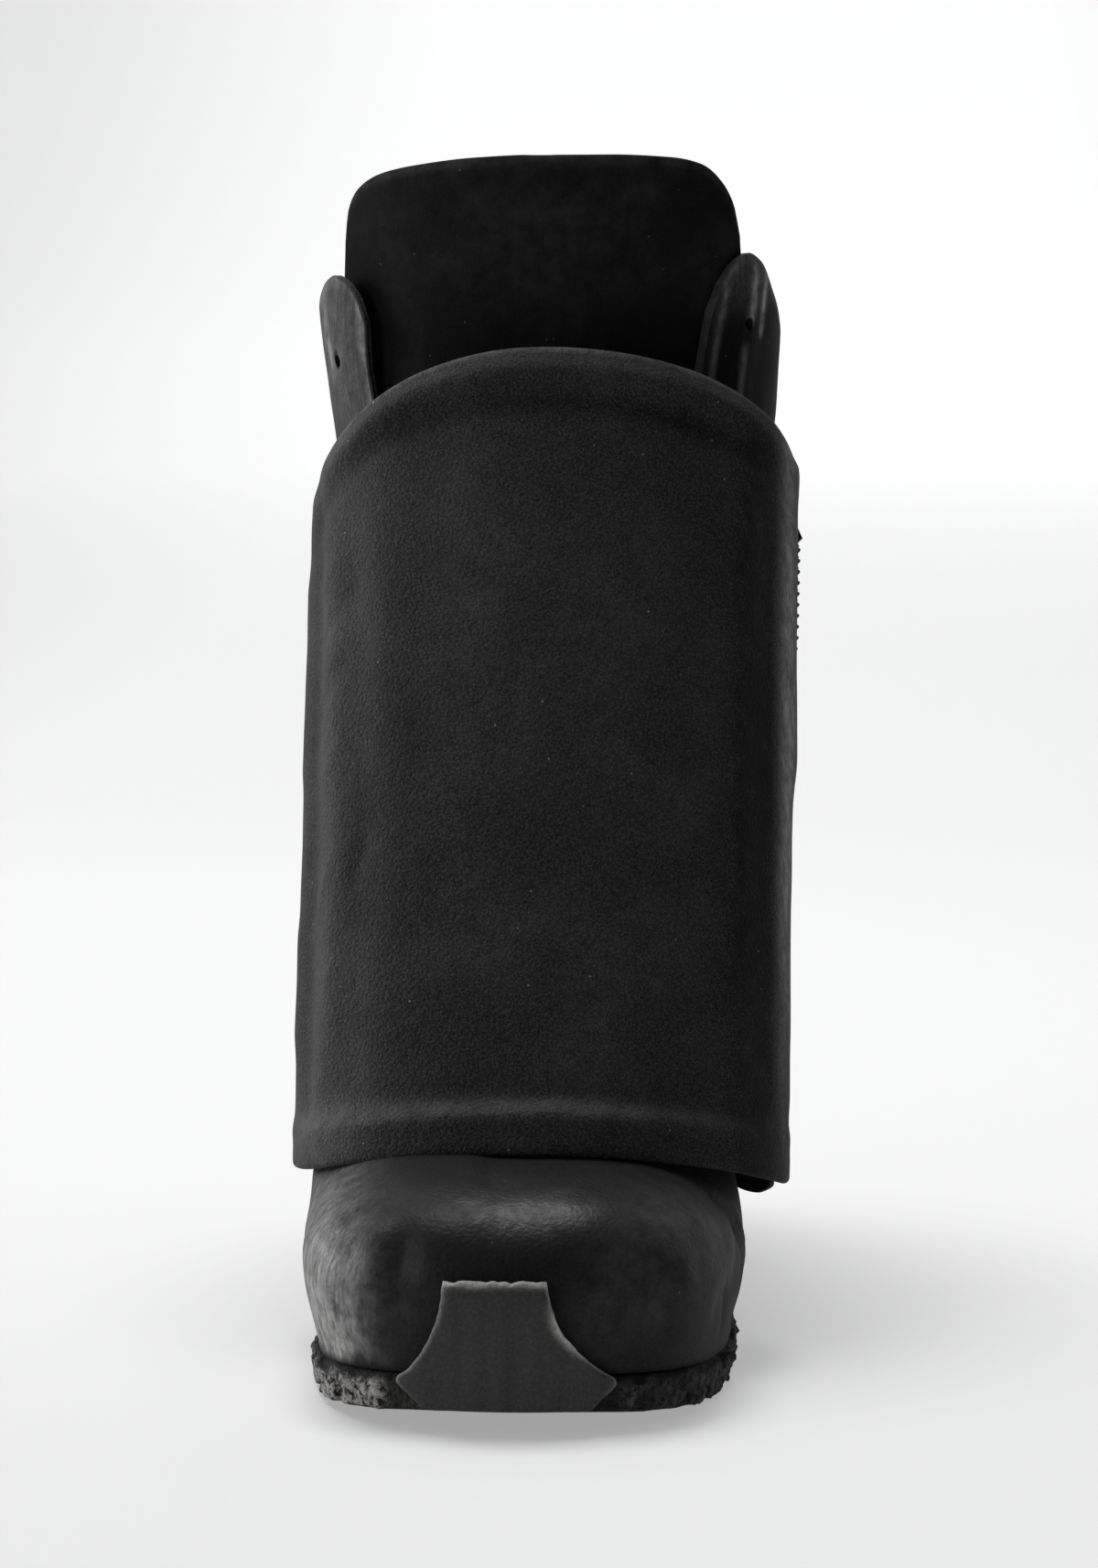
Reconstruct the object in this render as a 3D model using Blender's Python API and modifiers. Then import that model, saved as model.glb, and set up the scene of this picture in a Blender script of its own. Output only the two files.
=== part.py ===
"""High-top sneaker with a stiff zip-on front flap, right shoe.

Frame: metres, +Z up, toe towards -Y, the wearer's inner (medial) side towards +X, origin on the
floor under the middle of the outer box. Every size below is in millimetres. A station is a
distance back from the toe tip, and side is -1 for the outer (lateral) half, +1 for the inner half.
"""

import math
from collections import namedtuple

import bmesh
import bpy
import numpy as np
from mathutils import Matrix, Vector

OBJECT_NAME = "high_top_sneaker"
MM = 0.001
LATERAL = -1
MEDIAL = 1
SIDES = (LATERAL, MEDIAL)

# Driving sizes of the shoe
LENGTH = 290.0
CLEARANCE = 0.3
LEATHER_WALL = 2.4
TOE_SPAN = 3.2
HEEL_END = 287.0
LAST_CENTRE = -2.0
TOE_BOX_POWER = 3.3
SHAFT_POWER = 2.1
THROAT_LEVEL = 70.0
FOOT_LEVEL = 9.0
SHAFT_BLEND = (28.0, 125.0)
SHAFT_ONLY = (100.0, 125.0)
HEEL_BLEND = (95.0, 165.0)
HEEL_SHIFT = (215.0, 287.0)

# Sole edge as seen from above: half widths of the feather line, where upper and sole meet
PlanRow = namedtuple("PlanRow", "station lateral medial")
FEATHER_PLAN = (
    PlanRow(station=TOE_SPAN, lateral=0.0, medial=0.0),
    PlanRow(station=6.0, lateral=20.5, medial=20.5),
    PlanRow(station=12.0, lateral=32.5, medial=32.5),
    PlanRow(station=22.0, lateral=41.2, medial=41.5),
    PlanRow(station=38.0, lateral=46.8, medial=47.5),
    PlanRow(station=58.0, lateral=49.3, medial=50.8),
    PlanRow(station=82.0, lateral=50.0, medial=51.6),
    PlanRow(station=104.0, lateral=50.2, medial=49.5),
    PlanRow(station=135.0, lateral=47.0, medial=41.5),
    PlanRow(station=170.0, lateral=41.5, medial=35.0),
    PlanRow(station=205.0, lateral=38.0, medial=34.5),
    PlanRow(station=240.0, lateral=36.5, medial=36.0),
    PlanRow(station=262.0, lateral=33.5, medial=33.5),
    PlanRow(station=276.0, lateral=25.5, medial=25.5),
    PlanRow(station=284.0, lateral=14.0, medial=14.0),
    PlanRow(station=HEEL_END, lateral=0.0, medial=0.0),
)

# How far the toe box and quarters swell past the feather line
BulgeRow = namedtuple("BulgeRow", "side swell")
BULGE = (
    BulgeRow(side=LATERAL, swell=7.0),
    BulgeRow(side=MEDIAL, swell=4.6),
)
BULGE_FULL_HALF = 40.0
BULGE_POWER = 1.3
BULGE_CAP = 120.0
BULGE_FADE = (110.0, 215.0)

# Heights along the shoe: feather line, underside of the sole, and the top ridge of the last
SideRow = namedtuple("SideRow", "station height")
FEATHER_SIDE = (
    SideRow(station=0.0, height=14.5),
    SideRow(station=20.0, height=12.2),
    SideRow(station=45.0, height=10.0),
    SideRow(station=72.0, height=9.0),
    SideRow(station=110.0, height=9.4),
    SideRow(station=150.0, height=13.0),
    SideRow(station=190.0, height=17.6),
    SideRow(station=230.0, height=20.6),
    SideRow(station=LENGTH, height=22.0),
)
SOLE_SIDE = (
    SideRow(station=0.0, height=5.5),
    SideRow(station=15.0, height=3.2),
    SideRow(station=35.0, height=1.0),
    SideRow(station=56.0, height=0.0),
    SideRow(station=120.0, height=0.0),
    SideRow(station=140.0, height=2.8),
    SideRow(station=165.0, height=7.2),
    SideRow(station=203.0, height=9.6),
    SideRow(station=209.0, height=0.0),
    SideRow(station=274.0, height=0.0),
    SideRow(station=LENGTH, height=2.0),
)
RIDGE_SIDE = (
    SideRow(station=TOE_SPAN, height=26.0),
    SideRow(station=4.2, height=32.0),
    SideRow(station=6.5, height=38.0),
    SideRow(station=10.5, height=43.0),
    SideRow(station=17.0, height=47.2),
    SideRow(station=27.0, height=50.4),
    SideRow(station=42.0, height=53.0),
    SideRow(station=60.0, height=54.8),
    SideRow(station=80.0, height=58.6),
    SideRow(station=100.0, height=70.0),
    SideRow(station=118.0, height=84.0),
    SideRow(station=133.0, height=101.0),
    SideRow(station=144.0, height=121.0),
    SideRow(station=150.5, height=143.0),
    SideRow(station=153.5, height=172.0),
)
RIDGE_OVERRUN = 4.0
RIDGE_STEEP = 40.0

# Level sections of the heel and shaft
ShaftRow = namedtuple("ShaftRow", "height back lateral medial")
SHAFT = (
    ShaftRow(height=22.0, back=287.0, lateral=37.5, medial=37.0),
    ShaftRow(height=40.0, back=289.8, lateral=39.5, medial=39.0),
    ShaftRow(height=62.0, back=288.2, lateral=41.5, medial=41.0),
    ShaftRow(height=90.0, back=282.5, lateral=45.0, medial=44.5),
    ShaftRow(height=120.0, back=277.5, lateral=49.0, medial=48.5),
    ShaftRow(height=160.0, back=275.0, lateral=52.8, medial=54.0),
    ShaftRow(height=205.0, back=274.5, lateral=55.4, medial=58.5),
    ShaftRow(height=245.0, back=275.5, lateral=59.3, medial=61.5),
    ShaftRow(height=300.0, back=277.0, lateral=61.4, medial=63.0),
)

# Throat edge of the quarters and the collar behind the two ears
ThroatRow = namedtuple("ThroatRow", "height half_width")
THROAT = (
    ThroatRow(height=70.0, half_width=17.0),
    ThroatRow(height=100.0, half_width=20.0),
    ThroatRow(height=130.0, half_width=25.0),
    ThroatRow(height=170.0, half_width=33.0),
    ThroatRow(height=225.0, half_width=44.0),
    ThroatRow(height=270.0, half_width=52.5),
)
EarRow = namedtuple("EarRow", "side top hole_height hole_setback")
EARS = (
    EarRow(side=LATERAL, top=264.0, hole_height=243.5, hole_setback=12.0),
    EarRow(side=MEDIAL, top=270.0, hole_height=252.0, hole_setback=12.0),
)
EYELET_DIAMETER = 3.2
EYELET_SIDES = 10
PUNCH_DEPTH = 12.0
COLLAR_BACK = 240.0
COLLAR_MEET = (60.0, 120.0)
CollarRow = namedtuple("CollarRow", "distance lift")
COLLAR = (
    CollarRow(distance=0.0, lift=0.52),
    CollarRow(distance=3.0, lift=0.8),
    CollarRow(distance=7.0, lift=0.95),
    CollarRow(distance=11.5, lift=1.0),
    CollarRow(distance=17.0, lift=0.94),
    CollarRow(distance=30.0, lift=0.62),
    CollarRow(distance=50.0, lift=0.22),
    CollarRow(distance=80.0, lift=0.0),
    CollarRow(distance=140.0, lift=0.1),
)

# Tongue: arc from its middle to its edge at each height, and the rounded top corners
TONGUE_WALL = 2.4
TONGUE_GAP = 0.9
TONGUE_CROWN = 3.0
TONGUE_TOP = 295.6
TONGUE_BOTTOM = 63.5
TongueRow = namedtuple("TongueRow", "height half_arc")
TONGUE = (
    TongueRow(height=63.0, half_arc=19.0),
    TongueRow(height=90.0, half_arc=27.0),
    TongueRow(height=130.0, half_arc=38.0),
    TongueRow(height=175.0, half_arc=51.0),
    TongueRow(height=240.0, half_arc=64.5),
    TongueRow(height=295.0, half_arc=63.0),
)
CornerRow = namedtuple("CornerRow", "side start drop")
TONGUE_CORNERS = (
    CornerRow(side=LATERAL, start=0.45, drop=24.0),
    CornerRow(side=MEDIAL, start=0.6, drop=21.0),
)

# Sole rim from its top edge down: how far it stands out from the feather line, and the share of
# the sole's height there
RimRow = namedtuple("RimRow", "outset share")
RIM = (
    RimRow(outset=0.8, share=1.0),
    RimRow(outset=1.5, share=0.9),
    RimRow(outset=1.5, share=0.64),
    RimRow(outset=0.4, share=0.58),
    RimRow(outset=1.2, share=0.5),
    RimRow(outset=0.9, share=0.0),
)
RIM_HIDDEN_HALF = 26.0
RIM_RETURN = 3.0
LUG_GAP = 3.6
LUG_PITCH = 11.5
LUG_DEPTH = 4.0
LUG_NOTCH = 15.0
LUG_OVERHANG = 3.0
LUG_FIRST = 36.8
LugRun = namedtuple("LugRun", "start end")
LUG_RUNS = (
    LugRun(start=16.0, end=122.0),
    LugRun(start=219.0, end=279.0),
)
CENTRE_BAR_HALF = 17.0
CENTRE_BARS = (34.0, 46.0, 58.0, 70.0, 82.0, 94.0, 106.0, 232.0, 245.0, 258.0)
INSOLE_THICKNESS = 3.0
INSOLE_GAP = 1.6
SLOPE_SPAN = 2.0

# Toe bumper: half width of its face at each height
BUMPER_WALL = 2.5
BUMPER_SEAT = 0.48
BUMPER_CENTRE = -3.8
TOE_DEPTH = 30.0
BumperRow = namedtuple("BumperRow", "height half_width")
BUMPER = (
    BumperRow(height=5.8, half_width=24.6),
    BumperRow(height=9.5, half_width=25.4),
    BumperRow(height=14.0, half_width=22.3),
    BumperRow(height=20.0, half_width=17.6),
    BumperRow(height=26.0, half_width=14.4),
    BumperRow(height=31.0, half_width=12.8),
    BumperRow(height=35.5, half_width=12.0),
)

# Front flap: a U shell about an axis that leans back. Reach is measured square to the axis, rise
# along it
FLAP_WALL = 3.0
FLAP_SEAT = 0.95
FLAP_LEAN = math.radians(24.0)
FLAP_BASE_STATION = 54.0
FLAP_BASE_HEIGHT = 57.6
FLAP_RISE = 208.5
FLAP_CENTRE = 1.0
FLAP_HALF_WIDTH = 62.6
FLAP_WIDEST = 52.0
FLAP_ROUND_POWER = 2.05
FLAP_HEM_FLARE = 2.0
FLAP_HEM_HEIGHT = 7.0
FLAP_HEM_ROWS = (0.0, 0.45, 1.0, 1.6)
FLAP_HEM_CLEAR = 2.4
FLAP_HEM_FADE = (66.0, 116.0)
FlapRow = namedtuple("FlapRow", "side reach bottom_rise top_fall corner_reach corner_bottom corner_top")
FLAP_SIDES = (
    FlapRow(side=LATERAL, reach=88.0, bottom_rise=8.9, top_fall=30.0,
            corner_reach=72.0, corner_bottom=13.0, corner_top=10.0),
    FlapRow(side=MEDIAL, reach=57.5, bottom_rise=5.2, top_fall=18.0,
            corner_reach=50.0, corner_bottom=2.0, corner_top=1.5),
)

# Zip along the flap's inner edge
TAPE_WALL = 1.2
TAPE_SEAT = 0.9
TAPE_REACH = (49.0, 88.0)
TAPE_RISE = (13.0, 183.0)
TAPE_CORNER_REACH = 62.0
TAPE_BOTTOM_CORNER = 20.0
TAPE_TOP_CORNER = 34.0
TAPE_CORNER_POWER = 1.6
TAPE_UNDER_FLAP = 0.7
CHAIN_REACH = 60.0
CHAIN_RISE = (16.0, 172.0)
CHAIN_WIDTH = 3.6
CHAIN_HEIGHT = 2.2
CHAIN_SEAT = 0.36
TOOTH_PITCH = 2.9
TOOTH_STAGGER = 0.7
TOOTH_EDGES = (0.08, 0.92)
SLIDER_REACH = 61.6
SLIDER_LENGTH = 9.0
SLIDER_WIDTH = 6.4
SLIDER_HEIGHT = 3.6
SLIDER_ROUND = 1.2

# Mesh density
COLUMNS_TOE = 7
COLUMNS_QUARTER = 25
COLUMN_CROWDING = 0.35
ROWS_FOOT = 9
ROWS_SHAFT = 13
COLUMNS_FLAP = 11
ROWS_FLAP = 9
FLAP_SPACING = 8.0
COLUMNS_TONGUE = 17
ROWS_TONGUE = 20
COLUMNS_TAPE = 9
ROWS_TAPE = 14
COLUMNS_BUMPER = 15
ROWS_BUMPER = 11
RIM_SPACING = 8.0
INSOLE_SPACING = 9.0
LUG_SPACING = 1.0
FINE_OUTLINE = 60.0
TRACE = 120
CONTOUR_POINTS = 260
RIDGE_POINTS = 1500
TOE_POINTS = 400
WELD = 1e-6
SHARP_ANGLE = math.radians(35.0)

MaterialRow = namedtuple("MaterialRow", "name colour roughness")
LEATHER = MaterialRow("waxed_black_leather", (0.012, 0.012, 0.013), 0.55)
FLAP_LEATHER = MaterialRow("nubuck_black_leather", (0.014, 0.014, 0.015), 0.75)
TONGUE_LEATHER = MaterialRow("soft_black_leather", (0.008, 0.008, 0.009), 0.7)
RUBBER = MaterialRow("black_sole_rubber", (0.016, 0.016, 0.017), 0.85)
BUMPER_RUBBER = MaterialRow("smooth_black_rubber", (0.013, 0.013, 0.014), 0.5)
BOARD = MaterialRow("insole_leather", (0.05, 0.04, 0.03), 0.8)
TAPE = MaterialRow("zip_tape_cotton", (0.01, 0.01, 0.01), 0.9)
TEETH = MaterialRow("zip_teeth_metal", (0.06, 0.06, 0.062), 0.4)


def smooth_table(x, xs, ys):
    """Monotone cubic through the rows (xs, ys), level beyond both ends."""
    xs = np.asarray(xs, float)
    ys = np.asarray(ys, float)
    steps = np.diff(xs)
    slopes = np.diff(ys) / steps
    tangents = np.zeros_like(ys)
    tangents[0] = slopes[0]
    tangents[-1] = slopes[-1]
    product = slopes[:-1] * slopes[1:]
    total = np.where(product > 0, slopes[:-1] + slopes[1:], 1.0)
    tangents[1:-1] = np.where(product > 0, 2.0 * product / total, 0.0)
    x = np.clip(x, xs[0], xs[-1])
    i = np.clip(np.searchsorted(xs, x, side="right") - 1, 0, len(steps) - 1)
    t = (x - xs[i]) / steps[i]
    return ((1 + 2 * t) * (1 - t) ** 2 * ys[i] + t * (1 - t) ** 2 * steps[i] * tangents[i]
            + t * t * (3 - 2 * t) * ys[i + 1] + t * t * (t - 1) * steps[i] * tangents[i + 1])


def column(table, name):
    """One named column of a table of rows."""
    return [getattr(row, name) for row in table]


def side_row(table, side):
    """The row of a table that belongs to one side of the shoe."""
    return next(row for row in table if row.side == side)


def ease(x, low, high):
    """Smooth step from 0 at low to 1 at high."""
    t = np.clip((x - low) / (high - low), 0.0, 1.0)
    return t * t * (3 - 2 * t)


def side_name(side):
    """Name of the table column for one side of the shoe."""
    return "lateral" if side == LATERAL else "medial"


def feather_height(station):
    """Height of the line where the upper meets the sole."""
    return smooth_table(station, column(FEATHER_SIDE, "station"), column(FEATHER_SIDE, "height"))


def sole_height(station):
    """Height of the sole's underside."""
    return smooth_table(station, column(SOLE_SIDE, "station"), column(SOLE_SIDE, "height"))


def ridge_height(station):
    """Height of the top ridge of the toe, vamp and instep."""
    ridge = smooth_table(station, column(RIDGE_SIDE, "station"), column(RIDGE_SIDE, "height"))
    return ridge + RIDGE_STEEP * np.maximum(0.0, station - RIDGE_SIDE[-1].station)


def end_angle(station):
    """Angle that runs evenly round both ends of the plan, where its width closes."""
    share = np.clip((station - TOE_SPAN) / (HEEL_END - TOE_SPAN), 0.0, 1.0)
    return np.arccos(1 - 2 * share)


def plan_half(station, side):
    """Half width of the feather line."""
    angles = end_angle(np.array(column(FEATHER_PLAN, "station")))
    return smooth_table(end_angle(station), angles, column(FEATHER_PLAN, side_name(side)))


def shaft_size(height, name):
    """Back end or half width of the shaft at a height."""
    return smooth_table(height, column(SHAFT, "height"), column(SHAFT, name))


RIDGE_STATIONS = np.linspace(TOE_SPAN, RIDGE_SIDE[-1].station + RIDGE_OVERRUN, RIDGE_POINTS)
RIDGE_HEIGHTS = ridge_height(RIDGE_STATIONS)


def front_station(height):
    """Station of the front line (toe, ridge, shin) at a height."""
    return np.interp(height, RIDGE_HEIGHTS, RIDGE_STATIONS)


def body_half(station, height, side):
    """Half width of the upper's outside at a station and height."""
    back = shaft_size(height, "back")
    moved = station - (back - HEEL_END) * ease(station, *HEEL_SHIFT)
    plan = plan_half(moved, side)
    foot = feather_height(station)
    ridge = ridge_height(station)
    lift = np.clip((height - foot) / np.maximum(ridge - foot, 1.0), 0.0, 1.0)
    low_lift = np.clip((height - foot) / np.maximum(np.minimum(ridge, BULGE_CAP) - foot, 1.0), 0.0, 1.0)
    swell = side_row(BULGE, side).swell * np.sin(math.pi * low_lift ** BULGE_POWER)
    bulge = swell * np.minimum(plan / BULGE_FULL_HALF, 1.0) * (1 - ease(station, *BULGE_FADE))
    arch = (1 - lift ** TOE_BOX_POWER) ** (1 / TOE_BOX_POWER)
    vamp = (plan + bulge) * arch
    front = front_station(height)
    share = np.clip((station - front) / (back - front), 0.0, 1.0)
    ring = (1 - np.abs(2 * share - 1) ** SHAFT_POWER) ** (1 / SHAFT_POWER)
    shaft = shaft_size(height, side_name(side)) * ring
    weight = ease(height, *SHAFT_BLEND) * ease(station, *HEEL_BLEND)
    weight = np.maximum(weight, ease(height, *SHAFT_ONLY))
    return vamp + (shaft - vamp) * weight


def level_height(station, level):
    """Height of a level surface: the feather line at FOOT_LEVEL, flat from THROAT_LEVEL up."""
    share = np.clip((level - FOOT_LEVEL) / (THROAT_LEVEL - FOOT_LEVEL), 0.0, None)
    foot = feather_height(station)
    low = foot + (THROAT_LEVEL - foot) * share
    return np.where(level >= THROAT_LEVEL, level, low)


def contour(level, side):
    """Half outline of the body on a level, front line to heel, as points (x, station, height)."""
    ridge_gap = RIDGE_HEIGHTS - level_height(RIDGE_STATIONS, level)
    front = RIDGE_STATIONS[int(np.argmax(ridge_gap >= 0))]
    back = shaft_size(level_height(HEEL_END, level), "back")
    turn = np.linspace(0.0, math.pi, CONTOUR_POINTS)
    station = front + (back - front) * (1 - np.cos(turn)) / 2
    height = level_height(station, level)
    half = body_half(station, height, side)
    half[0] = 0.0
    half[-1] = 0.0
    return np.column_stack((LAST_CENTRE + side * half, station, height))


def arc_lengths(points):
    """Running length along a line of points."""
    return np.concatenate(([0.0], np.cumsum(np.linalg.norm(np.diff(points, axis=0), axis=1))))


def at_lengths(points, lengths):
    """Points of a line at the given running lengths."""
    run = arc_lengths(points)
    return np.column_stack([np.interp(lengths, run, points[:, i]) for i in range(3)])


def respaced(points, count):
    """A line of points spaced evenly along its length."""
    return at_lengths(points, np.linspace(0.0, arc_lengths(points)[-1], count))


def throat_share(line, level, side):
    """Share of a half outline that lies in front of the throat edge."""
    half = smooth_table(level, column(THROAT, "height"), column(THROAT, "half_width"))
    out = side * (line[:, 0] - LAST_CENTRE)
    run = arc_lengths(line)
    first = int(np.argmax(out >= half))
    span = (half - out[first - 1]) / (out[first] - out[first - 1])
    return (run[first - 1] + span * (run[first] - run[first - 1])) / run[-1]


def collar_top(distance, side):
    """Height of the collar at an arc distance back from the throat edge."""
    lift = smooth_table(distance, column(COLLAR, "distance"), column(COLLAR, "lift"))
    own_top = side_row(EARS, side).top
    top = own_top + (EARS[0].top - own_top) * ease(distance, *COLLAR_MEET)
    return COLLAR_BACK + lift * (top - COLLAR_BACK)


def half_upper(side):
    """Rows of points over one half of the upper: (toe columns, quarter columns)."""
    throat_line = contour(THROAT_LEVEL, side)
    corner = throat_share(throat_line, THROAT_LEVEL, side)
    spread = np.linspace(0.0, 1.0, COLUMNS_QUARTER)
    quarter = COLUMN_CROWDING * spread ** 2 + (1 - COLUMN_CROWDING) * spread
    shares = np.concatenate((np.linspace(0.0, corner, COLUMNS_TOE)[:-1],
                             corner + (1 - corner) * quarter))
    low = []
    for level in np.linspace(FOOT_LEVEL, THROAT_LEVEL, TRACE):
        line = contour(level, side)
        low.append(at_lengths(line, shares * arc_lengths(line)[-1]))
    low = np.array(low)
    feet = np.array([respaced(low[:, i], ROWS_FOOT) for i in range(len(shares))])
    high = []
    for level in np.linspace(THROAT_LEVEL, side_row(EARS, side).top, TRACE):
        line = contour(level, side)
        edge = throat_share(line, level, side)
        high.append(at_lengths(line, (edge + (1 - edge) * quarter) * arc_lengths(line)[-1]))
    high = np.array(high)
    around = arc_lengths(high[-1])
    shafts = []
    for i in range(len(quarter)):
        top = float(collar_top(around[i], side))
        below = high[:, i][high[:, i, 2] < top - 0.01]
        cut = [np.interp(top, high[:, i, 2], high[:, i, k]) for k in range(3)]
        shafts.append(respaced(np.vstack((below, cut)), ROWS_SHAFT))
    return feet, np.array(shafts)


def place(points):
    """World coordinates in metres of (x, station, height) points in millimetres."""
    points = np.atleast_2d(points)
    return np.column_stack((points[:, 0], points[:, 1] - LENGTH / 2, points[:, 2])) * MM


def make_material(row):
    """Principled material of one finish."""
    material = bpy.data.materials.new(row.name)
    material.use_nodes = True
    shader = material.node_tree.nodes["Principled BSDF"]
    shader.inputs["Base Color"].default_value = (*row.colour, 1.0)
    shader.inputs["Roughness"].default_value = row.roughness
    shader.inputs["Metallic"].default_value = 0.0
    return material


def add_object(name, mesh_data, finish, collection):
    """Named object from a filled bmesh, with its own material and smooth shading."""
    bmesh.ops.remove_doubles(mesh_data, verts=mesh_data.verts, dist=WELD)
    mesh = bpy.data.meshes.new(name)
    mesh_data.to_mesh(mesh)
    mesh_data.free()
    mesh.shade_smooth()
    mesh.set_sharp_from_angle(angle=SHARP_ANGLE)
    part = bpy.data.objects.new(name, mesh)
    collection.objects.link(part)
    if finish is not None:
        mesh.materials.append(make_material(finish))
    return part


def grid_faces(mesh_data, grid):
    """Quads over a grid of vertices in columns that run upward, placed anticlockwise from above."""
    for lower, upper in zip(grid[:-1], grid[1:]):
        for i in range(len(lower) - 1):
            corners = (lower[i], upper[i], upper[i + 1], lower[i + 1])
            mesh_data.faces.new(dict.fromkeys(corners))


def grid_verts(mesh_data, points):
    """Bmesh vertices for an array of points in rows."""
    return [[mesh_data.verts.new(place(p)[0]) for p in row] for row in points]


def thicken(part, wall, offset):
    """Give an open sheet its wall: offset -1 grows it inward, +1 outward."""
    solidify = part.modifiers.new("wall", "SOLIDIFY")
    solidify.thickness = wall * MM
    solidify.offset = offset
    solidify.use_even_offset = True
    solidify.use_rim = True


def cut(part, cutter):
    """Take a cutter's shape out of a part."""
    boolean = part.modifiers.new(cutter.name, "BOOLEAN")
    boolean.operation = "DIFFERENCE"
    boolean.solver = "EXACT"
    boolean.object = cutter


def as_cutter(part):
    """Hide a cutting shape and show it as wire."""
    part.hide_render = True
    part.display_type = "WIRE"
    return part


def build_upper(parts, cutters):
    """Hollow leather upper, open at the throat, collar and underside, with two punched ears."""
    lateral_feet, lateral_shaft = half_upper(LATERAL)
    medial_feet, medial_shaft = half_upper(MEDIAL)
    mesh_data = bmesh.new()
    ring = np.concatenate((medial_feet, lateral_feet[-2::-1]))
    feet = grid_verts(mesh_data, ring)
    for i, row in enumerate(feet[-1]):
        shared = feet[0][i]
        mesh_data.verts.remove(row)
        feet[-1][i] = shared
    grid_faces(mesh_data, feet)
    shaft = grid_verts(mesh_data, np.concatenate((medial_shaft, lateral_shaft[-2::-1])))
    start = COLUMNS_TOE - 1
    for i, row in enumerate(shaft):
        mesh_data.verts.remove(row[0])
        row[0] = feet[start + i][-1]
    grid_faces(mesh_data, shaft)
    upper = add_object("upper", mesh_data, LEATHER, parts)
    thicken(upper, LEATHER_WALL, -1.0)
    for ear in EARS:
        cut(upper, eyelet_cutter(ear, cutters))
    return upper


def eyelet_cutter(ear, cutters):
    """Round punch through one ear, square to its wall."""
    line = contour(ear.hole_height, ear.side)
    run = arc_lengths(line)
    middle = throat_share(line, ear.hole_height, ear.side) * run[-1] + ear.hole_setback
    centre, ahead = at_lengths(line, np.array([middle, middle + 1.0]))
    along = Vector(ahead - centre).normalized()
    across = along.cross(Vector((0.0, 0.0, 1.0))).normalized()
    mesh_data = bmesh.new()
    radius = EYELET_DIAMETER / 2 * MM
    bmesh.ops.create_cone(mesh_data, cap_ends=True, segments=EYELET_SIDES, radius1=radius,
                          radius2=radius, depth=PUNCH_DEPTH * MM)
    turn = across.to_track_quat("Z", "Y").to_matrix().to_4x4()
    mesh_data.transform(Matrix.Translation(Vector(place(centre)[0])) @ turn)
    return as_cutter(add_object("eyelet_" + side_name(ear.side), mesh_data, None, cutters))


def build_tongue(parts):
    """Curved tongue inside the throat, standing above the ears."""
    shares = np.linspace(-1.0, 1.0, COLUMNS_TONGUE)
    outside = np.zeros((len(shares), ROWS_TONGUE, 3))
    for i, share in enumerate(shares):
        side = LATERAL if share < 0 else MEDIAL
        corner = side_row(TONGUE_CORNERS, side)
        past = max(0.0, (abs(share) - corner.start) / (1 - corner.start))
        top = TONGUE_TOP - corner.drop * (1 - math.sqrt(1 - past * past)) - TONGUE_CROWN * share * share
        for k, level in enumerate(np.linspace(TONGUE_BOTTOM, top, ROWS_TONGUE)):
            line = contour(level, side)
            half_arc = smooth_table(level, column(TONGUE, "height"), column(TONGUE, "half_arc"))
            outside[i, k] = at_lengths(line, np.array([abs(share) * half_arc]))[0]
    normals = grid_normals(outside)
    inner = outside - normals * (LEATHER_WALL + TONGUE_GAP)
    mesh_data = bmesh.new()
    grid_faces(mesh_data, grid_verts(mesh_data, inner))
    tongue = add_object("tongue", mesh_data, TONGUE_LEATHER, parts)
    thicken(tongue, TONGUE_WALL, -1.0)
    return tongue


def grid_normals(points):
    """Outward unit normals of a grid whose first index runs sideways and second upward."""
    along = np.gradient(points, axis=0)
    up = np.gradient(points, axis=1)
    normals = np.cross(along, up)
    return normals / np.linalg.norm(normals, axis=2, keepdims=True)


def rim_outset(point):
    """Share of the rim's outset: none behind the toe bumper."""
    if point[1] > LENGTH / 4:
        return 1.0
    return float(ease(abs(point[0] - BUMPER_CENTRE), RIM_HIDDEN_HALF, RIM_HIDDEN_HALF + RIM_RETURN))


def feather_outline(side, spacing):
    """Half of the feather line, toe to heel, as points (x, station, height)."""
    line = contour(FOOT_LEVEL, side)
    run = arc_lengths(line)[-1]
    fine = np.arange(0.0, FINE_OUTLINE, 0.5 * spacing)
    rest = np.linspace(FINE_OUTLINE, run, int((run - FINE_OUTLINE) / spacing) + 1)
    return at_lengths(line, np.concatenate((fine, rest)))


def outline_normals(line, side):
    """Outward plan normals of half an outline."""
    tangent = np.gradient(line[:, :2], axis=0)
    tangent[0] = (side, 0.0)
    tangent[-1] = (-side, 0.0)
    normal = np.column_stack((tangent[:, 1], -tangent[:, 0])) * side
    return normal / np.linalg.norm(normal, axis=1, keepdims=True)


def rim_points(side, spacing):
    """Rows of points down the sole's side, for each place on the outline."""
    line = feather_outline(side, spacing)
    normals = outline_normals(line, side)
    points = []
    for point, normal in zip(line, normals):
        keep = rim_outset(point)
        top = feather_height(point[1]) - CLEARANCE
        low = sole_height(point[1])
        rows = []
        for row in RIM:
            place_in_plan = point[:2] + normal * row.outset * keep
            rows.append((*place_in_plan, low + (top - low) * row.share))
        points.append(rows)
    return np.array(points)


def close_level(mesh_data, halves, level):
    """Flat faces across one level, from the inner outline to the outer."""
    pairs = [(medial[level], lateral[level]) for medial, lateral in zip(halves[MEDIAL], halves[LATERAL])]
    for near, far in zip(pairs[:-1], pairs[1:]):
        mesh_data.faces.new(dict.fromkeys((near[0], near[1], far[1], far[0])))


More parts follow.
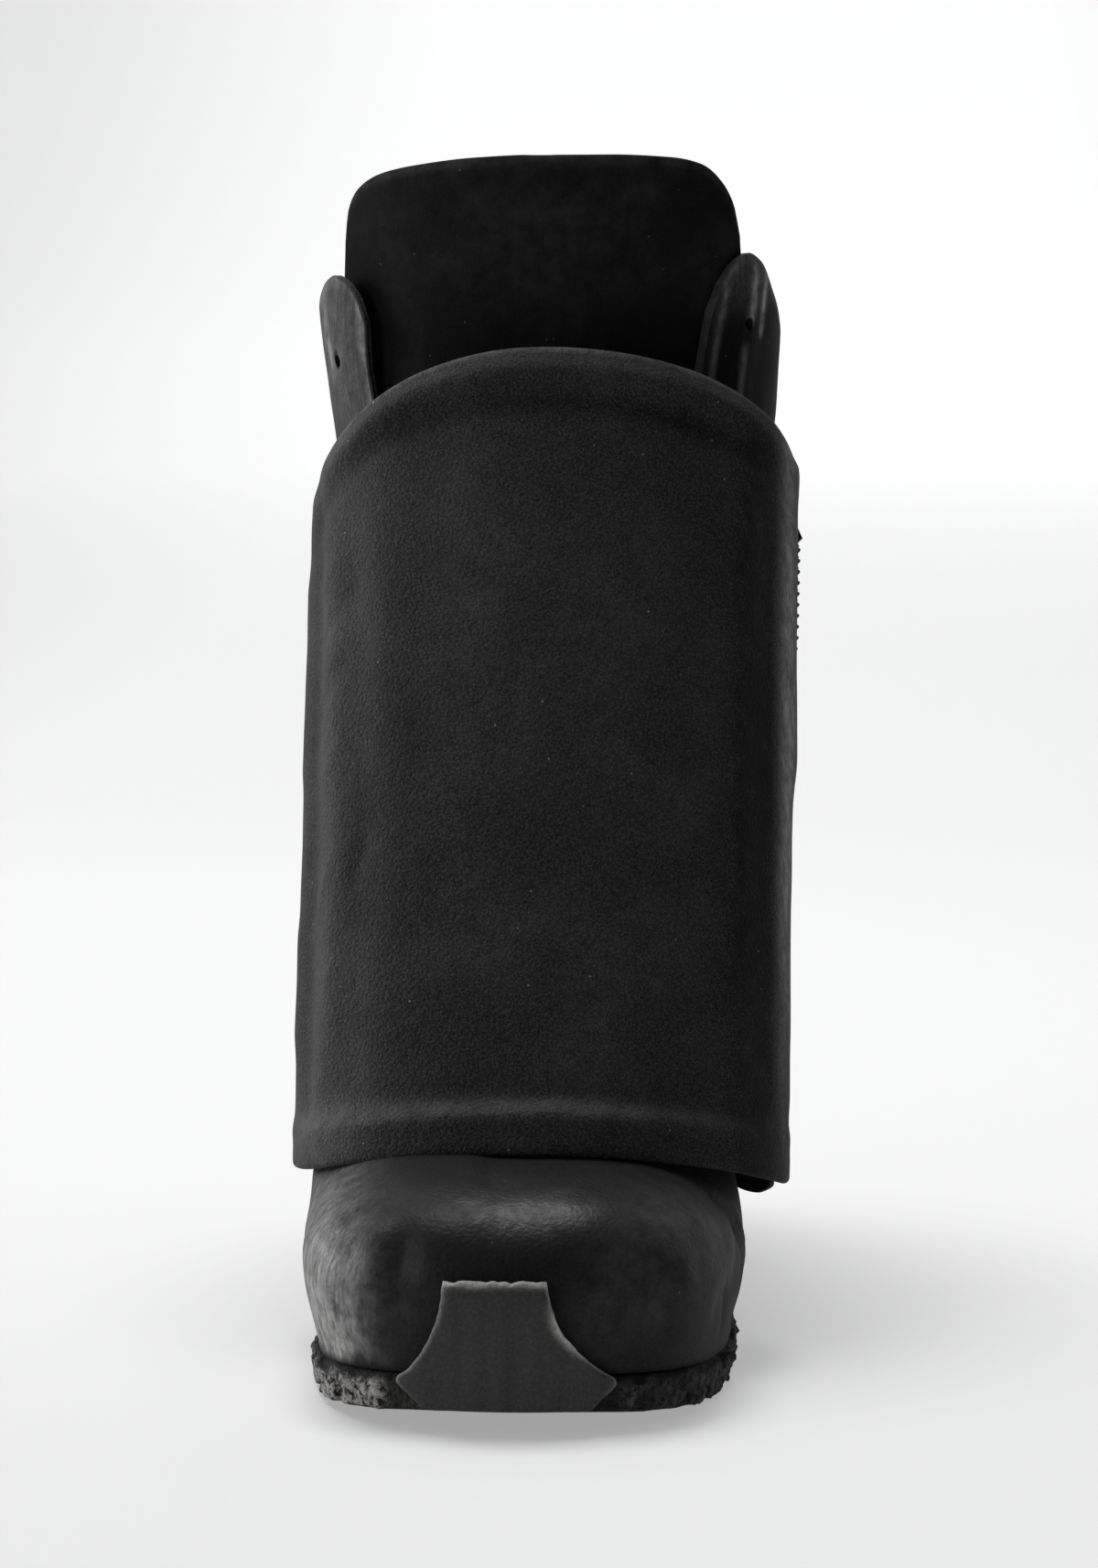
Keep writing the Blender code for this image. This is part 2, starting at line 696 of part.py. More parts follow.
def build_outsole(parts, cutters):
    """Rubber sole: toe spring, arch, heel, stepped rim, and lugs cut round its edge."""
    mesh_data = bmesh.new()
    halves = {side: grid_verts(mesh_data, rim_points(side, RIM_SPACING)) for side in SIDES}
    for end in (0, -1):
        for i in range(len(RIM)):
            mesh_data.verts.remove(halves[LATERAL][end][i])
            halves[LATERAL][end][i] = halves[MEDIAL][end][i]
    grid_faces(mesh_data, halves[MEDIAL])
    grid_faces(mesh_data, halves[LATERAL])
    for level in (0, len(RIM) - 1):
        close_level(mesh_data, halves, level)
    bmesh.ops.recalc_face_normals(mesh_data, faces=mesh_data.faces)
    outsole = add_object("outsole", mesh_data, RUBBER, parts)
    cut(outsole, lug_cutter(cutters))
    return outsole


def groove(mesh_data, centre, along, length, slope):
    """One straight groove: a box whose long side points along, following the sole's slope."""
    made = bmesh.ops.create_cube(mesh_data, size=1.0)
    size = Matrix.Diagonal((length * MM, LUG_GAP * MM, 2 * LUG_DEPTH * MM, 1.0))
    turn = Matrix.Rotation(math.atan2(along[1], along[0]), 4, "Z")
    tilt = Matrix.Rotation(slope, 4, "X")
    move = Matrix.Translation(Vector(place(centre)[0]))
    bmesh.ops.transform(mesh_data, matrix=move @ tilt @ turn @ size, verts=made["verts"])


def sole_slope(station):
    """Slope of the sole's underside along the shoe."""
    rise = float(sole_height(station + SLOPE_SPAN)) - float(sole_height(station - SLOPE_SPAN))
    return math.atan(rise / (2 * SLOPE_SPAN))


def lug_cutter(cutters):
    """Grooves between the edge lugs, and between the bars along the middle."""
    mesh_data = bmesh.new()
    for side in SIDES:
        line = feather_outline(side, LUG_SPACING)
        normals = outline_normals(line, side)
        run = arc_lengths(line)
        for length in np.arange(LUG_FIRST, run[-1] - LUG_PITCH, LUG_PITCH):
            i = int(np.searchsorted(run, length))
            station = line[i, 1]
            if not any(lug.start < station < lug.end for lug in LUG_RUNS):
                continue
            reach = line[i, :2] - normals[i] * (LUG_NOTCH / 2 - LUG_OVERHANG)
            centre = (reach[0], reach[1], float(sole_height(station)))
            groove(mesh_data, centre, normals[i], LUG_NOTCH, sole_slope(station))
    for station in CENTRE_BARS:
        centre = (LAST_CENTRE, station, float(sole_height(station)))
        groove(mesh_data, centre, (1.0, 0.0), 2 * CENTRE_BAR_HALF, sole_slope(station))
    return as_cutter(add_object("lug_grooves", mesh_data, None, cutters))


def build_insole(parts):
    """Board inside the upper, resting on the sole."""
    mesh_data = bmesh.new()
    inset = LEATHER_WALL + INSOLE_GAP
    rows = {}
    for side in SIDES:
        line = feather_outline(side, INSOLE_SPACING)
        line[:, :2] -= outline_normals(line, side) * inset
        low = np.array([(x, s, feather_height(s) + CLEARANCE) for x, s, _ in line])
        high = low + (0.0, 0.0, INSOLE_THICKNESS)
        rows[side] = grid_verts(mesh_data, np.stack((low, high), axis=1))
    for end in (0, -1):
        for i in range(2):
            mesh_data.verts.remove(rows[LATERAL][end][i])
            rows[LATERAL][end][i] = rows[MEDIAL][end][i]
    for side in SIDES:
        grid_faces(mesh_data, rows[side])
    for level in range(2):
        close_level(mesh_data, rows, level)
    bmesh.ops.recalc_face_normals(mesh_data, faces=mesh_data.faces)
    return add_object("insole", mesh_data, BOARD, parts)


def toe_front(x, height):
    """Station of the toe's front at a sideways place and height."""
    side = LATERAL if x < LAST_CENTRE else MEDIAL
    station = np.linspace(TOE_SPAN, TOE_DEPTH, TOE_POINTS)
    level = np.maximum(height, feather_height(station))
    out = LAST_CENTRE + side * body_half(station, level, side)
    order = np.argsort(side * out)
    return float(np.interp(side * x, (side * out)[order], station[order]))


def build_bumper(parts):
    """Smooth rubber bumper that climbs the toe from the sole's front edge."""
    heights = np.linspace(BUMPER[0].height, BUMPER[-1].height, ROWS_BUMPER)
    shares = np.linspace(-1.0, 1.0, COLUMNS_BUMPER)
    front = np.zeros((len(shares), len(heights), 3))
    for i, share in enumerate(shares):
        for k, height in enumerate(heights):
            half = smooth_table(height, column(BUMPER, "height"), column(BUMPER, "half_width"))
            x = BUMPER_CENTRE + share * half
            front[i, k] = (x, toe_front(x, height), height)
    normals = grid_normals(front)
    outer = front + normals * (BUMPER_SEAT + BUMPER_WALL)
    mesh_data = bmesh.new()
    grid_faces(mesh_data, grid_verts(mesh_data, outer))
    bumper = add_object("toe_bumper", mesh_data, BUMPER_RUBBER, parts)
    thicken(bumper, BUMPER_WALL, -1.0)
    return bumper


def flap_place(x, reach, rise):
    """Shoe coordinates of a point in the flap's own frame, x from the flap's middle."""
    station = FLAP_BASE_STATION + reach * math.cos(FLAP_LEAN) + rise * math.sin(FLAP_LEAN)
    height = FLAP_BASE_HEIGHT - reach * math.sin(FLAP_LEAN) + rise * math.cos(FLAP_LEAN)
    return FLAP_CENTRE + x, station, height


def quarter_half(side, reach, rise):
    """How far out the upper's quarter stands at a place in the flap's frame."""
    _, station, height = flap_place(0.0, reach, rise)
    return float(abs(LAST_CENTRE - FLAP_CENTRE + side * body_half(station, height, side)))


def flap_half(side, reach, rise, end, seat):
    """Half width of a U shell that closes on the quarter at its end reach, seat away from it."""
    if reach <= FLAP_WIDEST:
        short = (FLAP_WIDEST - reach) / FLAP_WIDEST
        return FLAP_HALF_WIDTH * (1 - short ** FLAP_ROUND_POWER) ** (1 / FLAP_ROUND_POWER)
    share = (reach - FLAP_WIDEST) / (end - FLAP_WIDEST)
    landing = quarter_half(side, end, rise) + seat
    curve = landing + (FLAP_HALF_WIDTH - landing) * (0.5 + 0.5 * math.cos(math.pi * share))
    return max(curve, quarter_half(side, reach, rise) + seat)


def flap_ends(row, reach):
    """Lowest and highest rise of the flap at a reach, with its rounded rear corners."""
    out = reach / FLAP_WIDEST
    past = max(0.0, (reach - row.corner_reach) / (row.reach - row.corner_reach)) ** 2
    low = row.bottom_rise * out ** 2 + row.corner_bottom * past
    high = FLAP_RISE - row.top_fall * out - row.corner_top * past
    return low, high


def flap_reaches(end):
    """Reaches from the flap's front line to its edge, evenly round the front, then evenly back."""
    turn = np.linspace(0.0, math.pi / 2, COLUMNS_FLAP)
    back = np.linspace(FLAP_WIDEST, end, int((end - FLAP_WIDEST) / FLAP_SPACING) + 2)
    return np.concatenate((FLAP_WIDEST * (1 - np.cos(turn)), back[1:]))


def flap_rises(low, high):
    """Rises from the bottom to the top edge, with extra rows through both rolled hems."""
    clear = FLAP_HEM_CLEAR * FLAP_HEM_HEIGHT
    inner = np.linspace(low + clear, high - clear, ROWS_FLAP)
    hem = np.array(FLAP_HEM_ROWS) * FLAP_HEM_HEIGHT
    return np.concatenate((low + hem, inner, high - hem[::-1]))


def flap_columns(row):
    """Lines of points up one half of the flap's outside, from its front line to its edge."""
    columns = []
    for reach in flap_reaches(row.reach):
        line = []
        for rise in flap_rises(*flap_ends(row, reach)):
            half = flap_half(row.side, reach, rise, FLAP_SIDES[0].reach, FLAP_SEAT + FLAP_WALL)
            line.append(flap_place(row.side * half, reach, rise))
        columns.append(line)
    return columns


def build_flap(parts):
    """Stiff leather shield over the throat, sewn to the outer quarter and zipped on the inner."""
    lateral, medial = (flap_columns(row) for row in FLAP_SIDES)
    grid = np.array(lateral[:0:-1] + medial)
    normals = grid_normals(grid)
    rises = flap_rises(0.0, FLAP_RISE)
    edge = np.minimum(rises, FLAP_RISE - rises) / FLAP_HEM_HEIGHT
    flare = FLAP_HEM_FLARE * np.exp(-(edge ** 2))
    fade = np.array([hem_fade(point) for point in grid[:, 0]])
    grid = grid + normals * flare[None, :, None] * fade[:, None, None]
    mesh_data = bmesh.new()
    grid_faces(mesh_data, grid_verts(mesh_data, grid))
    flap = add_object("front_flap", mesh_data, FLAP_LEATHER, parts)
    thicken(flap, FLAP_WALL, -1.0)
    return flap


def hem_fade(point):
    """Share of the hem's flare: full across the front, none where the flap lies on the quarter."""
    return 1.0 - float(ease(point[1], *FLAP_HEM_FADE))


def tape_half(reach, rise):
    """Half width of the zip tape's outer face: under the flap's edge, then down to the quarter."""
    under = FLAP_WALL + TAPE_UNDER_FLAP
    if reach <= FLAP_WIDEST:
        return flap_half(MEDIAL, reach, rise, TAPE_REACH[1], 0.0) - under
    landing = quarter_half(MEDIAL, TAPE_REACH[1], rise) + TAPE_SEAT + TAPE_WALL
    share = (reach - FLAP_WIDEST) / (TAPE_REACH[1] - FLAP_WIDEST)
    start = FLAP_HALF_WIDTH - under
    curve = landing + (start - landing) * (0.5 + 0.5 * math.cos(math.pi * share))
    return max(curve, quarter_half(MEDIAL, reach, rise) + TAPE_SEAT + TAPE_WALL)


def build_tape(parts):
    """Zip tape from under the flap's inner edge back to the inner quarter."""
    grid = []
    for reach in np.linspace(*TAPE_REACH, COLUMNS_TAPE):
        past = max(0.0, (reach - TAPE_CORNER_REACH) / (TAPE_REACH[1] - TAPE_CORNER_REACH))
        low = TAPE_RISE[0] + TAPE_BOTTOM_CORNER * past ** TAPE_CORNER_POWER
        high = TAPE_RISE[1] - TAPE_TOP_CORNER * past ** TAPE_CORNER_POWER
        rises = np.linspace(low, high, ROWS_TAPE)
        grid.append([flap_place(tape_half(reach, rise), reach, rise) for rise in rises])
    mesh_data = bmesh.new()
    grid_faces(mesh_data, grid_verts(mesh_data, np.array(grid)))
    tape = add_object("zip_tape", mesh_data, TAPE, parts)
    thicken(tape, TAPE_WALL, -1.0)
    return tape


def tape_frame(reach, rise):
    """Point on the tape's outer face, with its outward and sideways directions."""
    here = np.array(flap_place(tape_half(reach, rise), reach, rise))
    back = np.array(flap_place(tape_half(reach + 1.0, rise), reach + 1.0, rise))
    up = np.array(flap_place(tape_half(reach, rise + 1.0), reach, rise + 1.0))
    across = (back - here) / np.linalg.norm(back - here)
    out = np.cross(across, up - here)
    return here, out / np.linalg.norm(out), across


def build_chain(parts):
    """Tooth chain: a strip whose teeth step from side to side along the zip."""
    mesh_data = bmesh.new()
    teeth = int((CHAIN_RISE[1] - CHAIN_RISE[0]) / TOOTH_PITCH)
    rings = []
    for i in range(teeth):
        for share in TOOTH_EDGES:
            rise = CHAIN_RISE[0] + (i + share) * TOOTH_PITCH
            here, out, across = tape_frame(CHAIN_REACH, rise)
            shift = across * TOOTH_STAGGER * (1 if i % 2 else -1)
            base = here + out * CHAIN_SEAT + shift
            half = across * CHAIN_WIDTH / 2
            lid = out * CHAIN_HEIGHT
            rings.append([base - half, base + half, base + half + lid, base - half + lid])
    verts = grid_verts(mesh_data, np.array(rings))
    for lower, upper in zip(verts[:-1], verts[1:]):
        for i in range(4):
            j = (i + 1) % 4
            mesh_data.faces.new((lower[i], lower[j], upper[j], upper[i]))
    mesh_data.faces.new(verts[0])
    mesh_data.faces.new(verts[-1])
    bmesh.ops.recalc_face_normals(mesh_data, faces=mesh_data.faces)
    return add_object("zip_teeth", mesh_data, TEETH, parts)


def build_slider(parts):
    """Slider resting at the chain's top end."""
    rise = CHAIN_RISE[1] + SLIDER_LENGTH / 2 + CLEARANCE
    here, out, across = tape_frame(SLIDER_REACH, rise)
    mesh_data = bmesh.new()
    made = bmesh.ops.create_cube(mesh_data, size=1.0)
    size = Matrix.Diagonal((SLIDER_WIDTH * MM, SLIDER_LENGTH * MM, SLIDER_HEIGHT * MM, 1.0))
    up = np.cross(out, across)
    turn = Matrix((across, up, out)).transposed().to_4x4()
    centre = here + out * (SLIDER_HEIGHT / 2 + CHAIN_SEAT)
    move = Matrix.Translation(Vector(place(centre)[0]))
    bmesh.ops.transform(mesh_data, matrix=move @ turn @ size, verts=made["verts"])
    slider = add_object("zip_slider", mesh_data, TEETH, parts)
    bevel = slider.modifiers.new("rounded", "BEVEL")
    bevel.width = SLIDER_ROUND * MM
    bevel.segments = 2
    return slider


def new_collection(name):
    """Empty collection in the scene."""
    collection = bpy.data.collections.new(name)
    bpy.context.scene.collection.children.link(collection)
    return collection


def main():
    """Build the whole shoe."""
    for old in list(bpy.data.objects):
        bpy.data.objects.remove(old, do_unlink=True)
    parts = new_collection(OBJECT_NAME)
    cutters = new_collection(OBJECT_NAME + "_cutters")
    build_outsole(parts, cutters)
    build_insole(parts)
    build_upper(parts, cutters)
    build_bumper(parts)
    build_tongue(parts)
    build_flap(parts)
    build_tape(parts)
    build_chain(parts)
    build_slider(parts)


main()
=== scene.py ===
"""Looks of a tall black leather high-top sneaker, the right shoe of a pair.

Sizes are millimetres in the shoe's own terms: x across (the wearer's inner side is +), station back
from the toe tip, and height above the floor. place() turns them into metres in the part's frame.
A fade is two places: a share is 0 at the first and 1 at the second.
"""

from __future__ import annotations

import logging
import math
from dataclasses import dataclass, field
from enum import Enum
from functools import cached_property
from typing import Any

import bmesh
import bpy
import numpy as np
from mathutils import Matrix, Vector, noise


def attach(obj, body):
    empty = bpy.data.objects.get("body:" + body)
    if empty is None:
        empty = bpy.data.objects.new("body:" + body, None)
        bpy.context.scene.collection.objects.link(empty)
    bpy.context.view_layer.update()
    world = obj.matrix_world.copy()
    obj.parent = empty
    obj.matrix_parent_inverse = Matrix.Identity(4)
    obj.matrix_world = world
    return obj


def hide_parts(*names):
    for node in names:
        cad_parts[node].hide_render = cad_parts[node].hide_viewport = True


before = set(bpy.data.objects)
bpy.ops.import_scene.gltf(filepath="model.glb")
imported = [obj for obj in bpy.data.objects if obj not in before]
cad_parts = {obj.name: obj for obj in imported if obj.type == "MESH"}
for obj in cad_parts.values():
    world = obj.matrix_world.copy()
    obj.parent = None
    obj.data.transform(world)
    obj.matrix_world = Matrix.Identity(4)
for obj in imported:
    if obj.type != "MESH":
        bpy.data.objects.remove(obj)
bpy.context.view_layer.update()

LOG = logging.getLogger("high_top")
MM = 0.001
LENGTH = 290.0
MIDDLE = (0.0, LENGTH / 2, 0.0)
BODY = "root"
TINY = 1e-9


class Side(Enum):
    """Half of the shoe, with the direction of x that leads to it."""

    LATERAL = -1
    MEDIAL = 1


class Layer(Enum):
    """Material slots of a leather piece."""

    OUTSIDE = 0
    LINING = 1
    EDGE = 2


class Paint(Enum):
    """Painted values that the finishes read from a mesh."""

    # Grey painted into the leather: rubbed greying, and on some pieces painted highlights and painted shade
    HAZE = "haze"
    POLISH = "polish"
    STREAK = "streak"
    # Paleness of rubber: wear, and on the sole also painted light and painted shade
    WORN = "worn"


class GridEdge(Enum):
    """Side edge of a grid of points, with the step that leads in from it."""

    FIRST = 1
    LAST = -1


LEATHER_PAINTS = (Paint.HAZE, Paint.POLISH, Paint.STREAK)


def of_side(owner: object, name: str, side: Side) -> Any:
    """The size of an owner that belongs to one side."""
    return getattr(owner, f"{name}_{side.name.lower()}")


# Lines, curves and sheets


def ease(x: np.ndarray, low: float, high: float) -> np.ndarray:
    """Smooth step from 0 at low to 1 at high."""
    t = np.clip((np.asarray(x) - low) / (high - low), 0.0, 1.0)
    return t * t * (3 - 2 * t)


def bell(x: np.ndarray, centre: float, width: float) -> np.ndarray:
    """Rounded bump of height 1 about a centre."""
    return np.exp(-(((np.asarray(x) - centre) / width) ** 2))


def arc_lengths(line: np.ndarray) -> np.ndarray:
    """Running length along a line of points."""
    return np.concatenate(([0.0], np.cumsum(np.linalg.norm(np.diff(line, axis=0), axis=1))))


def at_lengths(line: np.ndarray, lengths: np.ndarray) -> np.ndarray:
    """Points of a line at the given running lengths."""
    run = arc_lengths(line)
    return np.column_stack([np.interp(lengths, run, line[:, i]) for i in range(3)])


def at_heights(column: np.ndarray, heights: np.ndarray) -> np.ndarray:
    """Points of a rising line at the given heights."""
    return np.column_stack([np.interp(heights, column[:, 2], column[:, i]) for i in range(3)])


def respaced(line: np.ndarray, count: int) -> np.ndarray:
    """A line of points spaced evenly along its length."""
    return at_lengths(line, np.linspace(0.0, arc_lengths(line)[-1], count))


def place(points: np.ndarray) -> np.ndarray:
    """Metres in the part's frame of points (x, station, height) in millimetres."""
    return (np.atleast_2d(points) - MIDDLE) * MM


def rough(points: np.ndarray, size: float, seed: float) -> np.ndarray:
    """Smooth noise over points in millimetres.

    Args:
        points: Places at which the noise is read.
        size: Width of one bump.
        seed: Shift that gives each use its own pattern.

    Returns:
        One value from about -1 to 1 for each point.
    """
    return np.array([noise.noise(Vector(p) / size + Vector((seed, -seed, 2 * seed))) for p in points])


@dataclass(frozen=True)
class Profile:
    """Monotone curve through a short table of sizes, level beyond both ends."""

    places: tuple[float, ...]
    sizes: tuple[float, ...]

    def at(self, x: np.ndarray) -> np.ndarray:
        """Size at a place.

        Args:
            x: Places along the table.

        Returns:
            The sizes there.
        """
        xs = np.array(self.places)
        ys = np.array(self.sizes)
        steps = np.diff(xs)
        slopes = np.diff(ys) / steps
        product = slopes[:-1] * slopes[1:]
        total = np.where(product > 0, slopes[:-1] + slopes[1:], 1.0)
        inner = np.where(product > 0, 2.0 * product / total, 0.0)
        tangents = np.concatenate((slopes[:1], inner, slopes[-1:]))
        x = np.clip(x, xs[0], xs[-1])
        i = np.clip(np.searchsorted(xs, x, side="right") - 1, 0, len(steps) - 1)
        t = (x - xs[i]) / steps[i]
        return ((1 + 2 * t) * (1 - t) ** 2 * ys[i] + t * (1 - t) ** 2 * steps[i] * tangents[i]
                + t * t * (3 - 2 * t) * ys[i + 1] + t * t * (t - 1) * steps[i] * tangents[i + 1])


@dataclass(frozen=True)
class Bump:
    """Rounded rise, or dip below 0, about one place along a line."""

    height: float
    centre: float
    width: float

    def over(self, x: np.ndarray) -> np.ndarray:
        """Height at places along the line."""
        return self.height * bell(x, self.centre, self.width)


@dataclass(frozen=True)
class Wave:
    """Slight unevenness of a surface: its height, the width of one bump and the pattern's own shift."""

    height: float
    size: float
    seed: float

    def over(self, points: np.ndarray) -> np.ndarray:
        """Height at points in millimetres."""
        return self.height * rough(points, self.size, self.seed)


@dataclass(frozen=True)
class Fold:
    """Soft ridge (lift above 0) or trough (below 0) along a path over a panel's own two sizes."""

    path: tuple[tuple[float, float], ...]
    width: float
    lift: float
    side: Side | None = None

    def over(self, across: np.ndarray, along: np.ndarray) -> np.ndarray:
        """Lift of the fold at places on the panel.

        Args:
            across: First size of each place.
            along: Second size of each place.

        Returns:
            How far the surface rises there.
        """
        nearest = np.full(np.shape(across), np.inf)
        for (a0, b0), (a1, b1) in zip(self.path[:-1], self.path[1:]):
            run = np.array((a1 - a0, b1 - b0))
            t = np.clip(((across - a0) * run[0] + (along - b0) * run[1]) / (run @ run), 0.0, 1.0)
            nearest = np.minimum(nearest, np.hypot(across - a0 - t * run[0], along - b0 - t * run[1]))
        return self.lift * np.exp(-((nearest / self.width) ** 2))


@dataclass(frozen=True)
class Patch:
    """Soft spot of one painted value on a panel's own two sizes."""

    paint: Paint
    centre: tuple[float, float]
    reach: tuple[float, float]
    amount: float
    side: Side | None = None

    def over(self, across: np.ndarray, along: np.ndarray) -> np.ndarray:
        """Painted value at places on the panel."""
        spot = bell(across, self.centre[0], self.reach[0]) * bell(along, self.centre[1], self.reach[1])
        return self.amount * spot


@dataclass(frozen=True)
class Stroke(Fold):
    """Stroke of one painted value along a path; its lift is the value."""

    paint: Paint = Paint.HAZE


def painted(patches: tuple[Patch, ...], paint: Paint, across: np.ndarray, along: np.ndarray) -> np.ndarray:
    """Sum of the patches of one painted value, from -1 to 1."""
    chosen = [patch.over(across, along) for patch in patches if patch.paint is paint]
    return np.clip(sum(chosen, np.zeros(len(across))), -1.0, 1.0)


@dataclass(frozen=True)
class RimShape:
    """Section of a cut edge, from the outside to the inside: share of the wall and how far it stands out."""

    shares: tuple[float, ...]
    stands: tuple[float, ...]


TWO_LAYERS = RimShape((0.07, 0.22, 0.43, 0.5, 0.57, 0.8, 0.94), (0.34, 0.55, 0.5, 0.12, 0.5, 0.5, 0.3))
ROLLED = RimShape((0.06, 0.2, 0.4, 0.6, 0.8, 0.94), (0.55, 1.0, 1.2, 1.2, 1.0, 0.55))
SQUARE = RimShape((0.08, 0.5, 0.92), (0.14, 0.16, 0.14))


def grid_quads(index: np.ndarray) -> np.ndarray:
    """Quads over a grid of point numbers."""
    corners = (index[:-1, :-1], index[1:, :-1], index[1:, 1:], index[:-1, 1:])
    return np.stack(corners, axis=-1).reshape(-1, 4)


@dataclass
class Sheet:
    """Open sheet of quads over points (x, station, height), with painted values."""

    points: np.ndarray
    quads: np.ndarray
    paints: dict[Paint, np.ndarray] = field(default_factory=dict)

    @classmethod
    def from_grid(cls, grid: np.ndarray) -> Sheet:
        """Sheet over a grid whose first index runs sideways and second upward."""
        index = np.arange(grid[..., 0].size).reshape(grid.shape[:2])
        return cls(grid.reshape(-1, 3).copy(), grid_quads(index))

    def normals(self) -> np.ndarray:
        """Directions in which the sheet faces.

        Returns:
            Unit normals at the points.
        """
        a, b, c, d = (self.points[self.quads[:, i]] for i in range(4))
        face = np.cross(c - a, d - b)
        total = np.zeros_like(self.points)
        for i in range(4):
            np.add.at(total, self.quads[:, i], face)
        return total / np.maximum(np.linalg.norm(total, axis=1, keepdims=True), TINY)

    def raise_by(self, lift: np.ndarray) -> None:
        """Move every point along its normal."""
        self.points = self.points + self.normals() * lift[:, None]

    def area(self) -> float:
        """Area in square metres."""
        a, b, c, d = (self.points[self.quads[:, i]] for i in range(4))
        return float(np.linalg.norm(np.cross(c - a, d - b), axis=1).sum() / 2 * MM * MM)

    def rim_edges(self) -> np.ndarray:
        """Edges that only one quad uses.

        Returns:
            Point numbers of each edge, in its quad's direction.
        """
        edges = np.concatenate([self.quads[:, [i, (i + 1) % 4]] for i in range(4)])
        key = np.sort(edges, axis=1)
        _, first, uses = np.unique(key, axis=0, return_index=True, return_counts=True)
        return edges[first[uses == 1]]

    def shell(self, name: str, wall: float, rim: RimShape, finishes: tuple[bpy.types.Material, ...],
              rim_size: np.ndarray | None = None) -> bpy.types.Object:
        """Close the sheet into a wall that grows inward, with a shaped edge.

        Args:
            name: Name of the new object.
            wall: Thickness of the wall.
            rim: Section of the edge.
            finishes: Materials of the outside, the lining and the edge.
            rim_size: Share of the edge's stand at each point, 1 where left out.

        Returns:
            The new object, at the origin.
        """
        normals = self.normals()
        edges = self.rim_edges()
        tangent = self.points[edges[:, 1]] - self.points[edges[:, 0]]
        outward = np.zeros_like(self.points)
        for end in range(2):
            np.add.at(outward, edges[:, end], np.cross(tangent, normals[edges[:, end]]))
        on_rim = np.unique(edges)
        length = np.linalg.norm(outward[on_rim], axis=1, keepdims=True)
        out = outward[on_rim] / np.maximum(length, TINY)
        if rim_size is not None:
            out = out * rim_size[on_rim][:, None]
        count = len(self.points)
        rows = [self.points, self.points - normals * wall]
        source = [np.arange(count), np.arange(count)]
        for share, stand in zip(rim.shares, rim.stands):
            rows.append(self.points[on_rim] - normals[on_rim] * wall * share + out * stand)
            source.append(on_rim)
        slot = np.zeros(count, int)
        slot[on_rim] = np.arange(len(on_rim))
        near = edges
        quads = [self.quads, self.quads[:, ::-1] + count]
        layers = [np.full(len(self.quads), Layer.OUTSIDE.value), np.full(len(self.quads), Layer.LINING.value)]
        for i in range(len(rim.shares) + 1):
            last = i == len(rim.shares)
            far = edges + count if last else slot[edges] + 2 * count + i * len(on_rim)
            quads.append(np.column_stack((near[:, 1], near[:, 0], far[:, 0], far[:, 1])))
            layers.append(np.full(len(edges), Layer.EDGE.value))
            near = far
        origin = np.concatenate(source)
        values = {paint.value: value[origin] for paint, value in self.paints.items()}
        return mesh_object(name, np.concatenate(rows), np.concatenate(quads), finishes,
                           np.concatenate(layers), values)


def scene_object(name: str, data: bpy.types.ID) -> bpy.types.Object:
    """New object in the scene.

    Args:
        name: Name of the object.
        data: Its mesh, light or camera.

    Returns:
        The object, at the origin.
    """
    made = bpy.data.objects.new(name, data)
    bpy.context.scene.collection.objects.link(made)
    return made


def shaped_mesh(name: str, shape: bmesh.types.BMesh) -> bpy.types.Mesh:
    """Mesh of a finished shape.

    Args:
        name: Name of the mesh.
        shape: Shape that is used up.

    Returns:
        The new mesh.
    """
    mesh = bpy.data.meshes.new(name)
    shape.to_mesh(mesh)
    shape.free()
    return mesh


def mesh_object(name: str, points: np.ndarray, faces: np.ndarray, finishes: tuple[bpy.types.Material, ...],
                layers: np.ndarray, values: dict[str, np.ndarray]) -> bpy.types.Object:
    """Smooth mesh object at the origin.

    Args:
        name: Name of the object and its mesh.
        points: Corners (x, station, height) in millimetres.
        faces: Corner numbers of each face.
        finishes: Materials, by slot.
        layers: Slot of each face.
        values: Painted values at the corners, by name.

    Returns:
        The new object, in the scene.
    """
    mesh = bpy.data.meshes.new(name)
    mesh.from_pydata(place(points).tolist(), [], faces.tolist())
    for finish in finishes:
        mesh.materials.append(finish)
    mesh.polygons.foreach_set("material_index", layers.astype(np.int32))
    for key, value in values.items():
        mesh.attributes.new(key, "FLOAT", "POINT").data.foreach_set("value", value.astype(np.float32))
    mesh.shade_smooth()
    mesh.update()
    return scene_object(name, mesh)


def settled(piece: bpy.types.Object) -> bpy.types.Object:
    """Turn a piece's modifiers into a plain mesh and remove them.

    Args:
        piece: Piece with modifiers.

    Returns:
        The same piece.
    """
    depsgraph = bpy.context.evaluated_depsgraph_get()
    mesh = bpy.data.meshes.new_from_object(piece.evaluated_get(depsgraph))
    piece.modifiers.clear()
    piece.data = mesh
    return piece


def join_part(piece: bpy.types.Object, slot: str, *nodes: str) -> None:
    """Let a piece ride on the shoe and stand for its solids.

    Args:
        piece: Finished piece.
        slot: Material slot of the record; not used.
        nodes: Solids that it stands for.
    """
    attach(piece, BODY)
    if nodes:
        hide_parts(*nodes)
    LOG.info("%s: %d faces", piece.name, len(piece.data.polygons))


# Finishes


def linear(colour: str) -> tuple[float, float, float, float]:
    """Linear colour of an sRGB hex value."""
    parts = [int(colour[i:i + 2], 16) / 255 for i in (1, 3, 5)]
    return (*[p / 12.92 if p <= 0.04045 else ((p + 0.055) / 1.055) ** 2.4 for p in parts], 1.0)


